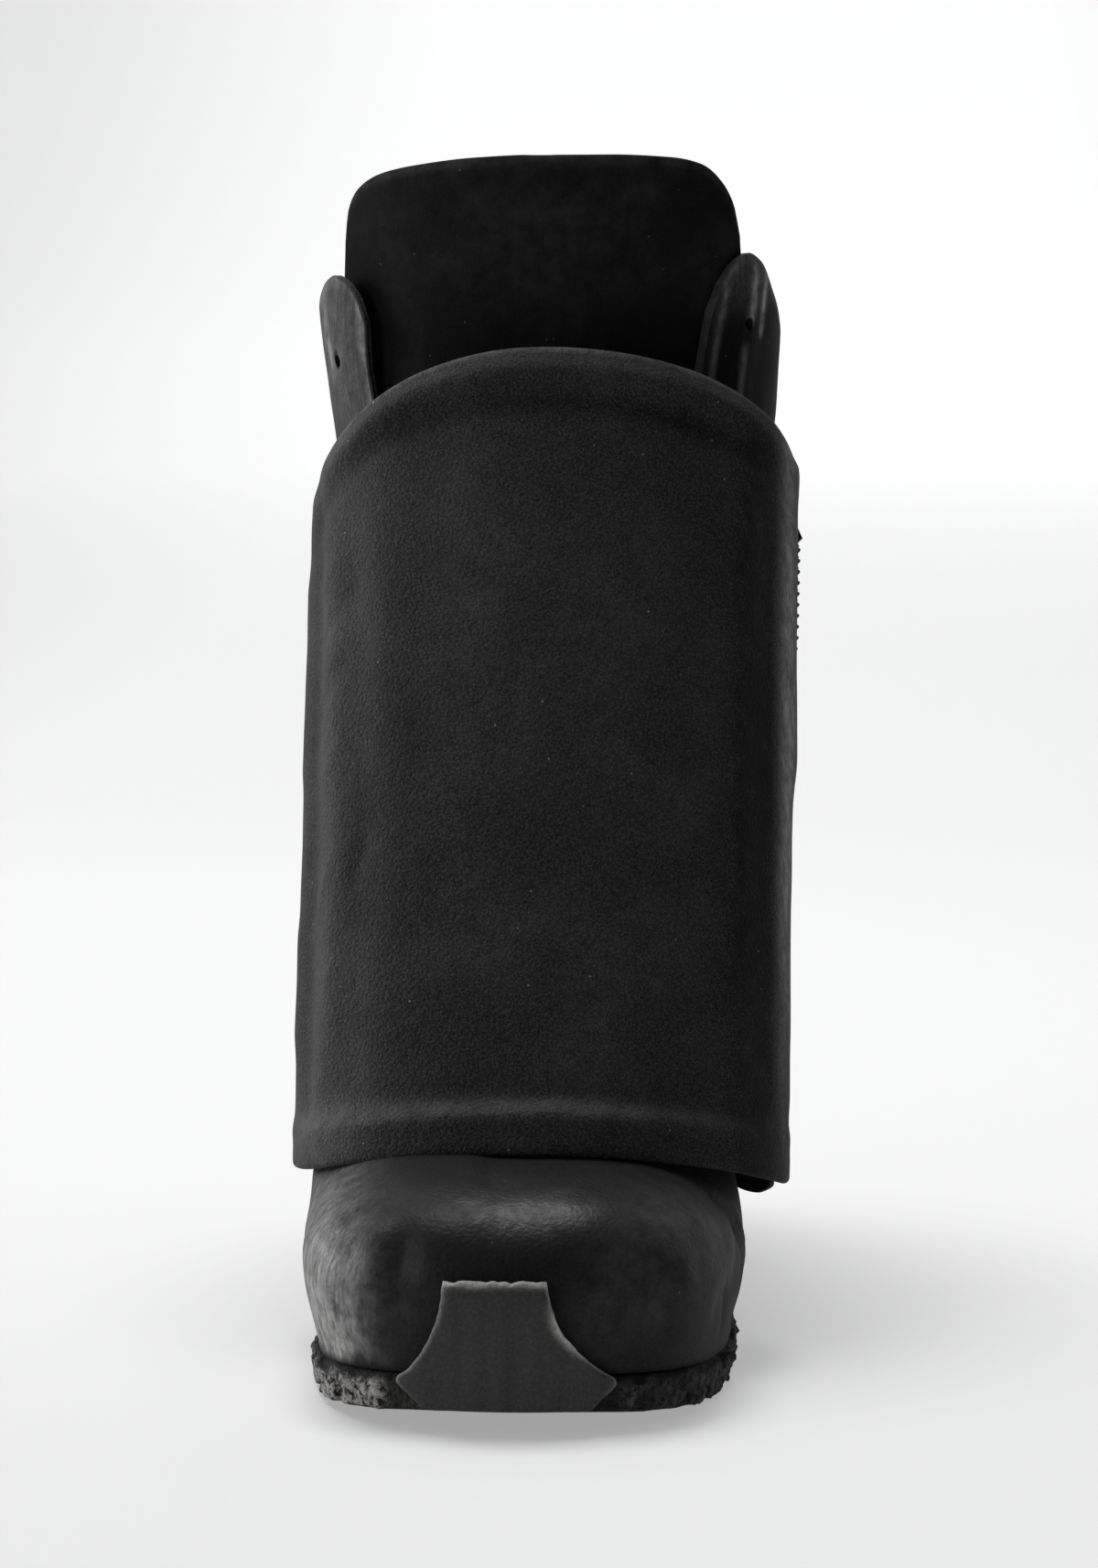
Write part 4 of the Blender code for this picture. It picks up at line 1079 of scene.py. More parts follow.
    scuffs_and_painted_highlights: tuple[Stroke, ...] = (
        # Pale stroke along the medial panel edge: painted highlight; the ear strokes below are scuffs
        Stroke(((66, 46), (69.5, 40), (72.5, 32), (75.5, 22), (77, 14)), 1.3, 0.17, Side.MEDIAL),
        Stroke(((64, 37), (50, 30)), 1.6, 0.08, Side.MEDIAL),
        Stroke(((193, 262), (191, 250)), 1.3, 0.9, Side.MEDIAL),
        Stroke(((187, 266), (185.5, 254)), 1.2, 0.7, Side.MEDIAL),
        Stroke(((183, 246), (180, 228), (177, 212)), 1.4, 0.4, Side.MEDIAL),
        Stroke(((177.5, 262), (174.5, 245), (171.5, 228), (169, 212)), 1.2, 0.35, Side.MEDIAL),
        Stroke(((176, 260), (174.5, 244), (173, 226)), 1.2, 0.4, Side.LATERAL),
        Stroke(((192, 258), (190, 240)), 2.4, 0.35, Side.LATERAL),
    )

    def half(self, side: Side) -> tuple[np.ndarray, np.ndarray]:
        """Columns of points up one half of the upper.

        Args:
            side: Half of the shoe.

        Returns:
            The columns over the foot, and those that go on up the shaft.
        """
        line = LAST.contour(LAST.throat_level, side)
        corner = LAST.throat_share(line, LAST.throat_level, side)
        spread = np.linspace(0.0, 1.0, self.quarter_columns)
        quarter = self.crowding * spread ** 2 + (1 - self.crowding) * spread
        toe = np.linspace(0.0, corner, self.toe_columns)[:-1]
        shares = np.concatenate((toe, corner + (1 - corner) * quarter))
        low = []
        for level in np.linspace(LAST.foot_level, LAST.throat_level, self.traced):
            line = LAST.contour(level, side)
            low.append(at_lengths(line, shares * arc_lengths(line)[-1]))
        feet = np.array([respaced(column, self.foot_rows) for column in np.array(low).transpose(1, 0, 2)])
        high = []
        for level in np.linspace(LAST.throat_level, of_side(LAST, "ear", side), self.traced):
            line = LAST.contour(level, side)
            edge = LAST.throat_share(line, level, side)
            high.append(at_lengths(line, (edge + (1 - edge) * quarter) * arc_lengths(line)[-1]))
        tops = LAST.collar_top(arc_lengths(high[-1]), side)
        shaft = []
        for column, top in zip(np.array(high).transpose(1, 0, 2), tops):
            below = column[column[:, 2] < top - self.least_step]
            shaft.append(respaced(np.vstack((below, at_heights(column, [top]))), self.shaft_rows))
        return feet, np.array(shaft)

    def sheet(self) -> Sheet:
        """Outside of the whole upper, before its folds.

        Returns:
            The new sheet.
        """
        lateral_feet, lateral_shaft = self.half(Side.LATERAL)
        medial_feet, medial_shaft = self.half(Side.MEDIAL)
        ring = np.concatenate((medial_feet, lateral_feet[-2:0:-1]))
        index = np.arange(ring[..., 0].size).reshape(ring.shape[:2])
        closed = np.concatenate((index, index[:1]))
        shaft = np.concatenate((medial_shaft, lateral_shaft[-2::-1]))[:, 1:]
        above = index.size + np.arange(shaft[..., 0].size).reshape(shaft.shape[:2])
        start = self.toe_columns - 1
        above = np.column_stack((closed[start:start + len(above), -1], above))
        points = np.concatenate((ring.reshape(-1, 3), shaft.reshape(-1, 3)))
        return Sheet(points, np.concatenate((grid_quads(closed), grid_quads(above))))

    def dress(self, sheet: Sheet) -> None:
        """Press the folds into the leather and paint where it is greyed, polished and brushed, with painted highlights
        and painted shade in the grey.

        Args:
            sheet: Outside of the upper.
        """
        x, station, height = sheet.points.T
        above = height - LAST.feather_side.at(station)
        sides = {Side.LATERAL: 1 - ease(x, *self.lateral_fade), Side.MEDIAL: ease(x, *self.medial_fade),
                 None: np.ones(len(x))}
        lift = sum(wave.over(sheet.points) for wave in self.waves)
        for fold in self.folds:
            lift = lift + fold.over(station, height) * sides[fold.side]
        for fold in self.toe_folds:
            lift = lift + fold.over(x, height) * (1 - ease(station, *self.toe_fold_fade))
        # Painted shade: the grey is taken off in a ragged band above the foot line, so the black dye shows there
        painted_gap_shade_mask = ease(above + self.ragged.over(sheet.points), *self.painted_gap_shade_fade)
        worn_edge = np.zeros(len(x))
        worn_edge[np.unique(sheet.rim_edges())] = self.edge_bloom
        for paint in LEATHER_PAINTS:
            values = worn_edge * ease(height, *self.edge_fade) * (paint is Paint.HAZE)
            for patch in self.toe_patches:
                if patch.paint is paint:
                    values = values + patch.over(x, height) * (1 - ease(station, *self.toe_paint_fade))
            for patch in (*self.patches, *self.scuffs_and_painted_highlights):
                if patch.paint is paint:
                    values = values + patch.over(station, height) * sides[patch.side]
            sheet.paints[paint] = np.clip(values * (painted_gap_shade_mask if paint is Paint.HAZE else 1.0), -1.0, 1.0)
        sheet.raise_by(lift * ease(above, *self.foot_fade))

    def punch(self, side: Side) -> bpy.types.Object:
        """Round cutter through one ear, square to its wall.

        Args:
            side: Half of the shoe.

        Returns:
            The cutter, in the scene.
        """
        height = of_side(self, "hole", side)
        line = LAST.contour(height, side)
        edge = LAST.throat_share(line, height, side) * arc_lengths(line)[-1]
        middle = edge + of_side(self, "setback", side)
        centre, ahead = at_lengths(line, np.array([middle, middle + 1.0]))
        across = Vector(ahead - centre).cross(Vector((0.0, 0.0, 1.0))).normalized()
        radius = self.hole_diameter / 2 * MM
        shape = bmesh.new()
        bmesh.ops.create_cone(shape, cap_ends=True, segments=self.punch_sides, radius1=radius, radius2=radius,
                              depth=self.punch_depth * MM)
        turn = across.to_track_quat("Z", "Y").to_matrix().to_4x4()
        shape.transform(Matrix.Translation(Vector(place(centre)[0])) @ turn)
        return scene_object("punch", shaped_mesh("punch", shape))

    def build(self) -> bpy.types.Object:
        """Make the upper and join it to the shoe.

        Returns:
            The upper.
        """
        sheet = self.sheet()
        self.dress(sheet)
        rim = ease(sheet.points[:, 2] - LAST.feather_side.at(sheet.points[:, 1]), *self.rim_fade)
        finishes = (UPPER_LEATHER.build(), LINING_LEATHER.build(), CUT_EDGE.build())
        piece = sheet.shell("upper_leather", self.wall, TWO_LAYERS, finishes, rim)
        cutters = [self.punch(side) for side in Side]
        for cutter in cutters:
            hole = piece.modifiers.new("hole", "BOOLEAN")
            hole.operation = "DIFFERENCE"
            hole.solver = "EXACT"
            hole.object = cutter
        settled(piece)
        for cutter in cutters:
            bpy.data.objects.remove(cutter)
        join_part(piece, "upper_leather", "upper")
        return piece


@dataclass
class Tongue:
    """Wide leather tongue that stands inside the throat, above the ears."""

    wall: float = 2.4
    gap: float = 0.9
    top: float = 295.6
    bottom: float = 63.5
    columns: int = 110
    rows: int = 120
    traced: int = 360
    half_arc: Profile = Profile((63, 90, 130, 175, 240, 257, 274, 295),
                                (19, 27, 38, 52, 70.5, 70, 67, 66))
    sway: float = 3.6
    sway_fade: tuple[float, float] = (180.0, 250.0)
    fold_fade: tuple[float, float] = (232.0, 252.0)
    lean_allowance: float = 25.0
    wave: Wave = Wave(0.25, 26.0, 7.0)
    # Paler along the top edge: painted highlight
    edge_bloom: Bump = Bump(0.5, 0.0, 1.4)
    drop: Profile = Profile((-1, -0.97, -0.88, -0.72, -0.5, -0.25, 0, 0.3, 0.6, 0.75, 0.88, 0.96, 1),
                            (23, 15.5, 9.8, 5.6, 2.8, 0.8, 0, 0, 0.9, 2.6, 7.5, 13.5, 21))
    folds: tuple[Fold, ...] = (
        Fold(((2, 225), (4, 262), (3, 284)), 7.0, 0.7),
        Fold(((-34, 236), (-30, 276)), 12.0, -0.6),
        Fold(((30, 240), (34, 272)), 12.0, -0.5),
        Fold(((-40, 288), (40, 290)), 4.0, 0.3),
    )
    patches: tuple[Patch, ...] = (
        # Paler upper middle: painted light where the flap's shade doesn't reach
        Patch(Paint.HAZE, (4, 270), (34, 22), 0.26),
    )

    def grid(self) -> np.ndarray:
        """Shape of the tongue before it is set inside the upper.

        Returns:
            Points in columns from its lateral to its medial edge, each running up.
        """
        shares = np.linspace(-1.0, 1.0, self.columns)
        halves = {Side.LATERAL: -shares[shares < 0], Side.MEDIAL: shares[shares >= 0]}
        lines = []
        for level in np.linspace(self.bottom, self.top, self.traced):
            half_arc = float(self.half_arc.at(level))
            sway = self.sway * float(ease(level, *self.sway_fade))
            lines.append(np.concatenate([at_lengths(LAST.contour(level, side), part * (half_arc - side.value * sway))
                                         for side, part in halves.items()]))
        tops = self.top - self.drop.at(shares)
        return np.array([at_heights(column, np.linspace(self.bottom, top, self.rows))
                         for column, top in zip(np.array(lines).transpose(1, 0, 2), tops)])

    def build(self) -> bpy.types.Object:
        """Make the tongue and join it to the shoe.

        Returns:
            The tongue.
        """
        sheet = Sheet.from_grid(self.grid())
        sheet.raise_by(np.full(len(sheet.points), -(Upper.wall + self.gap)))
        x, _, height = sheet.points.T
        lift = self.wave.over(sheet.points)
        for fold in self.folds:
            lift = lift + fold.over(x, height)
        sheet.raise_by(lift * ease(height, *self.fold_fade))
        for paint in LEATHER_PAINTS:
            sheet.paints[paint] = painted(self.patches, paint, x, height)
        tops = self.top - self.drop.at(np.linspace(-1.0, 1.0, self.columns))
        below_top = np.repeat(tops, self.rows) - height
        # Painted highlight along the top edge
        sheet.paints[Paint.HAZE] = sheet.paints[Paint.HAZE] + self.edge_bloom.over(below_top)
        finish = TONGUE_LEATHER.build()
        piece = sheet.shell("tongue_leather", self.wall, ROLLED, (finish, finish, finish))
        join_part(piece, "tongue_leather", "tongue")
        sheet.area()
        return piece


@dataclass(frozen=True)
class FlapShape:
    """U shell about an axis that leans back: reach is square to the axis, rise runs along it."""

    wall: float = 3.0
    seat: float = 0.95
    lean: float = math.radians(24.0)
    base_station: float = 54.0
    base_height: float = 57.6
    rise: float = 208.5
    centre: float = 1.0
    half_width: float = 62.6
    widest: float = 52.0
    power: float = 2.05
    reach_lateral: float = 88.0
    reach_medial: float = 55.0

    def at(self, x: np.ndarray, reach: np.ndarray, rise: np.ndarray) -> np.ndarray:
        """Points of the shoe at places in the flap's own frame.

        Args:
            x: Places across.
            reach: Places back from the front line.
            rise: Places up the axis.

        Returns:
            Points (x, station, height).
        """
        station = self.base_station + reach * math.cos(self.lean) + rise * math.sin(self.lean)
        height = self.base_height - reach * math.sin(self.lean) + rise * math.cos(self.lean)
        return np.stack(np.broadcast_arrays(self.centre + x, station, height), axis=-1)

    def quarter(self, side: Side, reach: np.ndarray, rise: np.ndarray) -> np.ndarray:
        """How far out the upper's quarter stands behind the flap.

        Args:
            side: Half of the shoe.
            reach: Places back from the front line.
            rise: Places up the axis.

        Returns:
            Distances from the flap's middle.
        """
        where = self.at(0.0, reach, rise)
        half = LAST.half_width(where[..., 1], where[..., 2], side)
        return np.abs(LAST.centre - self.centre + side.value * half)

    def front(self, reach: np.ndarray) -> np.ndarray:
        """Half width of the rounded front."""
        short = np.clip((self.widest - reach) / self.widest, 0.0, 1.0)
        return self.half_width * (1 - short ** self.power) ** (1 / self.power)

    def half(self, side: Side, reach: np.ndarray, rise: np.ndarray, end: float, seat: float,
             under: float = 0.0) -> np.ndarray:
        """Half width of the shell, which closes on the quarter.

        Args:
            side: Half of the shoe.
            reach: Places back from the front line.
            rise: Places up the axis.
            end: Reach at which the shell lies on the quarter.
            seat: Distance from the quarter there.
            under: How far inside the flap's outside the shell starts.

        Returns:
            Distances from the flap's middle.
        """
        start = self.half_width - under
        share = np.clip((reach - self.widest) / (end - self.widest), 0.0, 1.0)
        landing = self.quarter(side, end, rise) + seat
        curve = landing + (start - landing) * (0.5 + 0.5 * np.cos(math.pi * share))
        rear = np.maximum(curve, self.quarter(side, reach, rise) + seat)
        return np.where(reach <= self.widest, self.front(reach) - under, rear)


FLAP = FlapShape()


@dataclass
class FrontFlap:
    """Stiff leather shield over the throat, with rolled hems and soft creases at its turns."""

    columns_front: int = 82
    spacing: float = 1.5
    rows: int = 168
    edge_fade: tuple[float, float] = (-150.0, -112.0)
    turn_fade: tuple[float, float] = (50.0, 82.0)
    hem: tuple[Bump, ...] = (Bump(1.7, 8.8, 3.0), Bump(1.3, 2.5, 5.0), Bump(-0.8, 15.0, 3.6))
    hem_flattened: float = 0.85
    hem_wave: Wave = Wave(0.22, 4.5, 14.0)
    hem_wave_band: Bump = Bump(1.0, 10.0, 6.0)
    brim: tuple[Bump, ...] = (Bump(1.8, 5.6, 3.8), Bump(-0.9, 13.0, 4.2))
    brim_flattened: float = 0.95
    # Painted highlight along the rolled top edge and painted shade in the groove below it
    brim_painted_highlight_and_shade: tuple[Bump, ...] = (Bump(0.1, 2.5, 3.0), Bump(0.3, 0.0, 0.8), Bump(-0.05, 13.0, 4.5))
    waves: tuple[Wave, ...] = (Wave(0.35, 34.0, 11.0), Wave(0.12, 11.0, 13.0))
    hem_allowance: float = 16.0
    bottom_rise: tuple[float, float] = (8.9, 5.2)
    top_fall: tuple[float, float] = (30.0, 15.0)
    corner_reach: tuple[float, float] = (72.0, 50.0)
    corner_bottom: tuple[float, float] = (13.0, 2.0)
    corner_top: tuple[float, float] = (10.0, 0.5)
    folds: tuple[Fold, ...] = (
        Fold(((-61, 24), (-59, 80), (-62, 120), (-64, 156)), 5.5, 0.9),
        Fold(((-50, 22), (-48, 90), (-51, 130), (-56, 166)), 6.0, -0.7),
        Fold(((-72, 16), (-71, 80), (-73, 140), (-76, 178)), 4.6, -1.0),
        Fold(((-84, 34), (-82, 58)), 5.5, 0.5),
        Fold(((-85, 104), (-86, 150)), 5.5, 0.5),
        Fold(((-97, 30), (-96, 110), (-99, 160)), 6.0, -0.5),
        Fold(((-110, 40), (-108, 120)), 7.0, 0.6),
        Fold(((-92, 40), (-92, 190)), 22.0, 0.5),
        Fold(((-67, 118), (-57, 130)), 2.6, -0.4),
        Fold(((-66, 98), (-58, 108)), 2.6, 0.35),
        Fold(((-70, 60), (-62, 74)), 2.6, 0.35),
        Fold(((-52, 72), (-48, 82)), 2.6, -0.5),
        Fold(((-72, 150), (-58, 158)), 3.0, 0.35),
        Fold(((-66, 138), (-54, 150)), 3.0, -0.35),
        Fold(((88, 188), (92, 194)), 4.0, 0.6),
        Fold(((90, 110), (91, 182)), 9.0, 1.1),
        Fold(((84, 20), (83, 60)), 4.0, 0.4),
        Fold(((66, 24), (64, 110), (66, 170)), 5.5, -0.6),
        Fold(((-50, 178), (-20, 192), (20, 194), (56, 184)), 9.0, -0.35),
        Fold(((-46, 110), (-20, 122)), 14.0, 0.35),
        Fold(((10, 70), (44, 60)), 16.0, -0.35),
    )
    patches: tuple[Patch, ...] = (
        # Paler lateral turn: partly rubbed greying, partly painted light from the side
        Patch(Paint.HAZE, (-60, 64), (8, 60), 0.11),
        Patch(Paint.HAZE, (-62, 150), (11, 40), 0.06),
        Patch(Paint.HAZE, (-100, 90), (14, 130), 0.04),
        # Pale strip along the medial edge: painted highlight where the turned edge catches light
        Patch(Paint.HAZE, (80, 122), (6.2, 84), 1.0),
        # Darker beside the strip: painted shade
        Patch(Paint.HAZE, (63, 104), (9, 130), -0.2),
        Patch(Paint.POLISH, (62, 100), (14, 150), -0.9),
        # Darker bottom medial corner: painted shade
        Patch(Paint.HAZE, (80, 6), (14, 14), -0.2),
        # Darker band on the lateral front: painted shade
        Patch(Paint.HAZE, (-40, 110), (13, 130), -0.08),
        Patch(Paint.HAZE, (22, 96), (22, 110), 0.035),
        # Darker along the lateral trough: painted shade in the crease
        Patch(Paint.HAZE, (-77, 100), (5.5, 90), -0.05),
        Patch(Paint.STREAK, (-60, 90), (14, 110), 0.5),
        Patch(Paint.STREAK, (80, 110), (10, 110), 0.8),
        # Paler along the bottom hem's ridge, most on the lateral side: painted highlight
        Patch(Paint.HAZE, (-64, 10), (26, 12), 0.14),
        Patch(Paint.HAZE, (-10, 11), (46, 2.8), 0.2),
        Patch(Paint.POLISH, (-6, 11), (60, 5), 0.5),
        Patch(Paint.HAZE, (-30, 150), (34, 46), 0.06),
    )

    def ends(self, k: int, reach: np.ndarray) -> tuple[np.ndarray, np.ndarray]:
        """Lower and upper edge of one side.

        Args:
            k: Place of the side in the tables, lateral first.
            reach: Places back from the front line.

        Returns:
            Lowest and highest rise there.
        """
        whole = (FLAP.reach_lateral, FLAP.reach_medial)[k]
        past = np.clip((reach - self.corner_reach[k]) / (whole - self.corner_reach[k]), 0.0, 1.0) ** 2
        out = reach / FLAP.widest
        low = self.bottom_rise[k] * out ** 2 + self.corner_bottom[k] * past
        return low, FLAP.rise - self.top_fall[k] * out - self.corner_top[k] * past

    def side_grid(self, side: Side) -> np.ndarray:
        """Shape of one side before its folds.

        Args:
            side: Half of the shoe.

        Returns:
            Points in columns from the front line to the edge, each running up.
        """
        end = of_side(FLAP, "reach", side)
        turn = np.linspace(0.0, math.pi / 2, self.columns_front)
        back = np.arange(FLAP.widest + self.spacing, end, self.spacing)
        reach = np.concatenate((FLAP.widest * (1 - np.cos(turn)), back, [end]))[:, None]
        low, high = self.ends(list(Side).index(side), reach)
        rise = low + (high - low) * np.linspace(0.0, 1.0, self.rows)
        half = FLAP.half(side, reach, rise, FLAP.reach_lateral, FLAP.seat + FLAP.wall)
        return FLAP.at(side.value * half, np.broadcast_to(reach, rise.shape), rise)

    def build(self) -> np.ndarray:
        """Make the flap and join it to the shoe.

        Returns:
            The grid of points over its outside.
        """
        lateral = self.side_grid(Side.LATERAL)
        grid = np.concatenate((lateral[:0:-1], self.side_grid(Side.MEDIAL)))
        sheet = Sheet.from_grid(grid)
        middle = arc_lengths(grid[:, self.rows // 2])
        around = np.repeat(middle - middle[len(lateral) - 1], self.rows)
        rises = np.array([arc_lengths(column) for column in grid])
        rise, top = rises.ravel(), (rises[:, -1:] - rises).ravel()
        edge = ease(around, *self.edge_fade)
        turned_back = ease(np.abs(around), *self.turn_fade)
        hem = sum(bump.over(rise) for bump in self.hem) * (1 - self.hem_flattened * turned_back)
        brim = sum(bump.over(top) for bump in self.brim) * (1 - self.brim_flattened * turned_back)
        lift = edge * (hem + brim) + sum(wave.over(sheet.points) for wave in self.waves)
        lift = lift + self.hem_wave.over(sheet.points) * edge * self.hem_wave_band.over(rise)
        for fold in self.folds:
            lift = lift + fold.over(around, rise)
        sheet.raise_by(lift)
        for paint in LEATHER_PAINTS:
            sheet.paints[paint] = painted(self.patches, paint, around, rise)
        # Painted highlight along the rolled top edge, and painted shade in the groove below it
        sheet.paints[Paint.HAZE] = sheet.paints[Paint.HAZE] + sum(bump.over(top) for bump in self.brim_painted_highlight_and_shade)
        finish = FLAP_LEATHER.build()
        piece = sheet.shell("front_flap_leather", FLAP.wall, ROLLED, (finish, LINING_LEATHER.build(), finish))
        join_part(piece, "flap_leather", "front_flap")
        sheet.area()
        return sheet.points.reshape(grid.shape)


@dataclass
class Zip:
    """Zip along the flap's inner edge: woven tape, two rows of meshed teeth, and the slider at the top."""

    tape_wall: float = 1.2
    tape_seat: float = 0.9
    tape_reach: tuple[float, float] = (49.0, 88.0)
    tape_rise: tuple[float, float] = (4.0, 186.0)
    tape_columns: int = 40
    tape_rows: int = 130
    tape_wave: Wave = Wave(0.25, 12.0, 17.0)
    corner_reach: float = 62.0
    corner_bottom: float = 20.0
    corner_top: float = 34.0
    corner_power: float = 1.6
    under_flap: float = 0.7
    chain_reach: float = 60.0
    chain_rise: tuple[float, float] = (16.0, 176.0)
    chain_points: int = 160
    proud: Bump = Bump(3.5, 60.0, 4.5)
    proud_from: tuple[float, float] = (132.0, 150.0)
    proud_to: tuple[float, float] = (176.0, 184.0)
    tooth_pitch: float = 1.5
    tooth_size: tuple[float, float, float] = (1.84, 1.275, 3.0)
    tooth_lift: float = 0.935
    tooth_stagger: float = 0.75
    slider_reach: float = 61.6
    slider_lift: float = 0.36
    slider_clear: float = 0.3
    slider_size: tuple[float, float, float] = (6.4, 9.0, 2.9)
    slider_round: float = 0.09
    # Lower plate, upper plate, post and bridge: shares of the slider's size, and where each one's middle lies
    slider_blocks: tuple[tuple[tuple[float, float, float], tuple[float, float, float]], ...] = (
        ((1.0, 1.0, 0.28), (0.0, 0.0, 0.14)),
        ((0.94, 0.94, 0.26), (0.0, 0.0, 0.87)),
        ((0.34, 0.4, 0.5), (0.0, 0.28, 0.5)),
        ((0.26, 0.62, 0.2), (0.0, -0.05, 1.06)),
    )

    def surface(self, reach: np.ndarray, rise: np.ndarray) -> np.ndarray:
        """Outer face of the tape.

        Args:
            reach: Places back from the flap's front line.
            rise: Places up the flap's axis.

        Returns:
            Points there.
        """
        half = FLAP.half(Side.MEDIAL, reach, rise, self.tape_reach[1], self.tape_seat + self.tape_wall,
                         FLAP.wall + self.under_flap)
        proud = ease(rise, *self.proud_from) * (1 - ease(rise, *self.proud_to))
        return FLAP.at(half + proud * self.proud.over(reach), reach, rise)

    def frame(self, reach: float, rise: np.ndarray) -> tuple[np.ndarray, np.ndarray, np.ndarray]:
        """Places and directions along a line up the tape.

        Args:
            reach: Place of the line, back from the flap's front line.
            rise: Places up the flap's axis.

        Returns:
            Points, and the directions outward and backward there.
        """
        reaches = np.full(len(rise), reach)
        here = self.surface(reaches, rise)
        back = self.surface(reaches + 1.0, rise) - here
        out = np.cross(back, self.surface(reaches, rise + 1.0) - here)
        return here, *(way / np.linalg.norm(way, axis=1, keepdims=True) for way in (out, back))

    def build_tape(self) -> np.ndarray:
        """Make the tape and join it to the shoe.

        Returns:
            The grid of points over its outer face.
        """
        reach = np.linspace(*self.tape_reach, self.tape_columns)[:, None]
        past = np.clip((reach - self.corner_reach) / (self.tape_reach[1] - self.corner_reach), 0.0, 1.0)
        low = self.tape_rise[0] + self.corner_bottom * past ** self.corner_power
        high = self.tape_rise[1] - self.corner_top * past ** self.corner_power
        rise = low + (high - low) * np.linspace(0.0, 1.0, self.tape_rows)
        grid = self.surface(np.broadcast_to(reach, rise.shape), rise)
        sheet = Sheet.from_grid(grid)
        sheet.raise_by(self.tape_wave.over(sheet.points))
        finish = Webbing().build()
        piece = sheet.shell("zip_tape_cloth", self.tape_wall, SQUARE, (finish, finish, finish))
        join_part(piece, "zip_tape", "zip_tape")
        sheet.area()
        return grid

    def tooth_tree(self) -> bpy.types.GeometryNodeTree:
        """Nodes that set staggered teeth along a path.

        Returns:
            The new tree.
        """
        tree, given, points = path_tree("meshed_teeth", {"Stagger": "Float", "Tooth": "Vector"}, "Teeth")
        out, back = (direction(tree, name) for name in ("out", "back"))
        odd = worked(tree, "MODULO", add_node(tree, "GeometryNodeInputIndex").outputs[0], 2.0)
        shift = worked(tree, "MULTIPLY", worked(tree, "MULTIPLY_ADD", odd, 2.0, -1.0), given["Stagger"])
        offset = add_node(tree, "ShaderNodeVectorMath", {0: back, "Scale": shift}, operation="SCALE").outputs[0]
        moved = add_node(tree, "GeometryNodeSetPosition", {"Geometry": points, "Offset": offset}).outputs[0]
        bar = add_node(tree, "GeometryNodeMeshCylinder", {"Vertices": 10, "Radius": 0.5, "Depth": 1.0}).outputs[0]
        tooth = add_node(tree, "GeometryNodeTransform", {"Geometry": bar, "Scale": given["Tooth"]}).outputs[0]
        set_out(tree, given["Finish"], "Teeth", Points=moved, Instance=tooth,
                Rotation=turned(tree, ("Z", back), ("X", out)))
        return tree

    def build_teeth(self, metal: bpy.types.Material) -> None:
        """Make the rows of teeth and join them to the shoe.

        Args:
            metal: Their finish.
        """
        here, out, back = self.frame(self.chain_reach, np.linspace(*self.chain_rise, self.chain_points))
        path = path_object("zip_teeth_metal", here + out * self.tooth_lift, {"out": out, "back": back})
        run_nodes(path, self.tooth_tree(), {"Pitch": self.tooth_pitch * MM, "Stagger": self.tooth_stagger * MM,
                                            "Tooth": tuple(size * MM for size in self.tooth_size), "Finish": metal})
        join_part(path, "zip_metal", "zip_teeth")

    def build_slider(self, metal: bpy.types.Material) -> None:
        """Make the slider, with rounded edges, and join it to the shoe.

        Args:
            metal: Its finish.
        """
        rise = self.chain_rise[1] + self.slider_size[1] / 2 + self.slider_clear
        here, out, back = (way[0] for way in self.frame(self.slider_reach, np.array([rise])))
        whole = np.array(self.slider_size) * MM
        shape = bmesh.new()
        for share, middle in self.slider_blocks:
            block = Matrix.Translation(Vector(middle * whole)) @ Matrix.Diagonal((*(share * whole), 1.0))
            made = bmesh.ops.create_cube(shape, size=1.0, matrix=block)
            edges = {edge for vert in made["verts"] for edge in vert.link_edges}
            bmesh.ops.bevel(shape, geom=list(edges), offset=self.slider_round * whole[2], segments=3, profile=0.6,
                            affect="EDGES")
        turn = Matrix((back, np.cross(out, back), out)).transposed().to_4x4()
        shape.transform(Matrix.Translation(Vector(place(here + out * self.slider_lift)[0])) @ turn)
        mesh = shaped_mesh("zip_slider_metal", shape)
        mesh.materials.append(metal)
        mesh.shade_smooth()
        join_part(scene_object("zip_slider_metal", mesh), "zip_metal", "zip_slider")

    def build(self) -> np.ndarray:
        """Make the whole zip.

        Returns:
            The grid of points over the tape's outer face.
        """
        tape = self.build_tape()
        metal = BlackenedMetal().build()
        self.build_teeth(metal)
        self.build_slider(metal)
        return tape


def path_object(name: str, points: np.ndarray, vectors: dict[str, np.ndarray]) -> bpy.types.Object:
    """Line of edges that carries directions at its points.

    Args:
        name: Name of the object.
        points: Places (x, station, height) along the line.
        vectors: Directions at those places, by name.

    Returns:
        The new object, in the scene.
    """
    mesh = bpy.data.meshes.new(name)
    mesh.from_pydata(place(points).tolist(), [(i, i + 1) for i in range(len(points) - 1)], [])
    for key, values in vectors.items():
        mesh.attributes.new(key, "FLOAT_VECTOR", "POINT").data.foreach_set("vector", values.astype(np.float32).ravel())
    return scene_object(name, mesh)


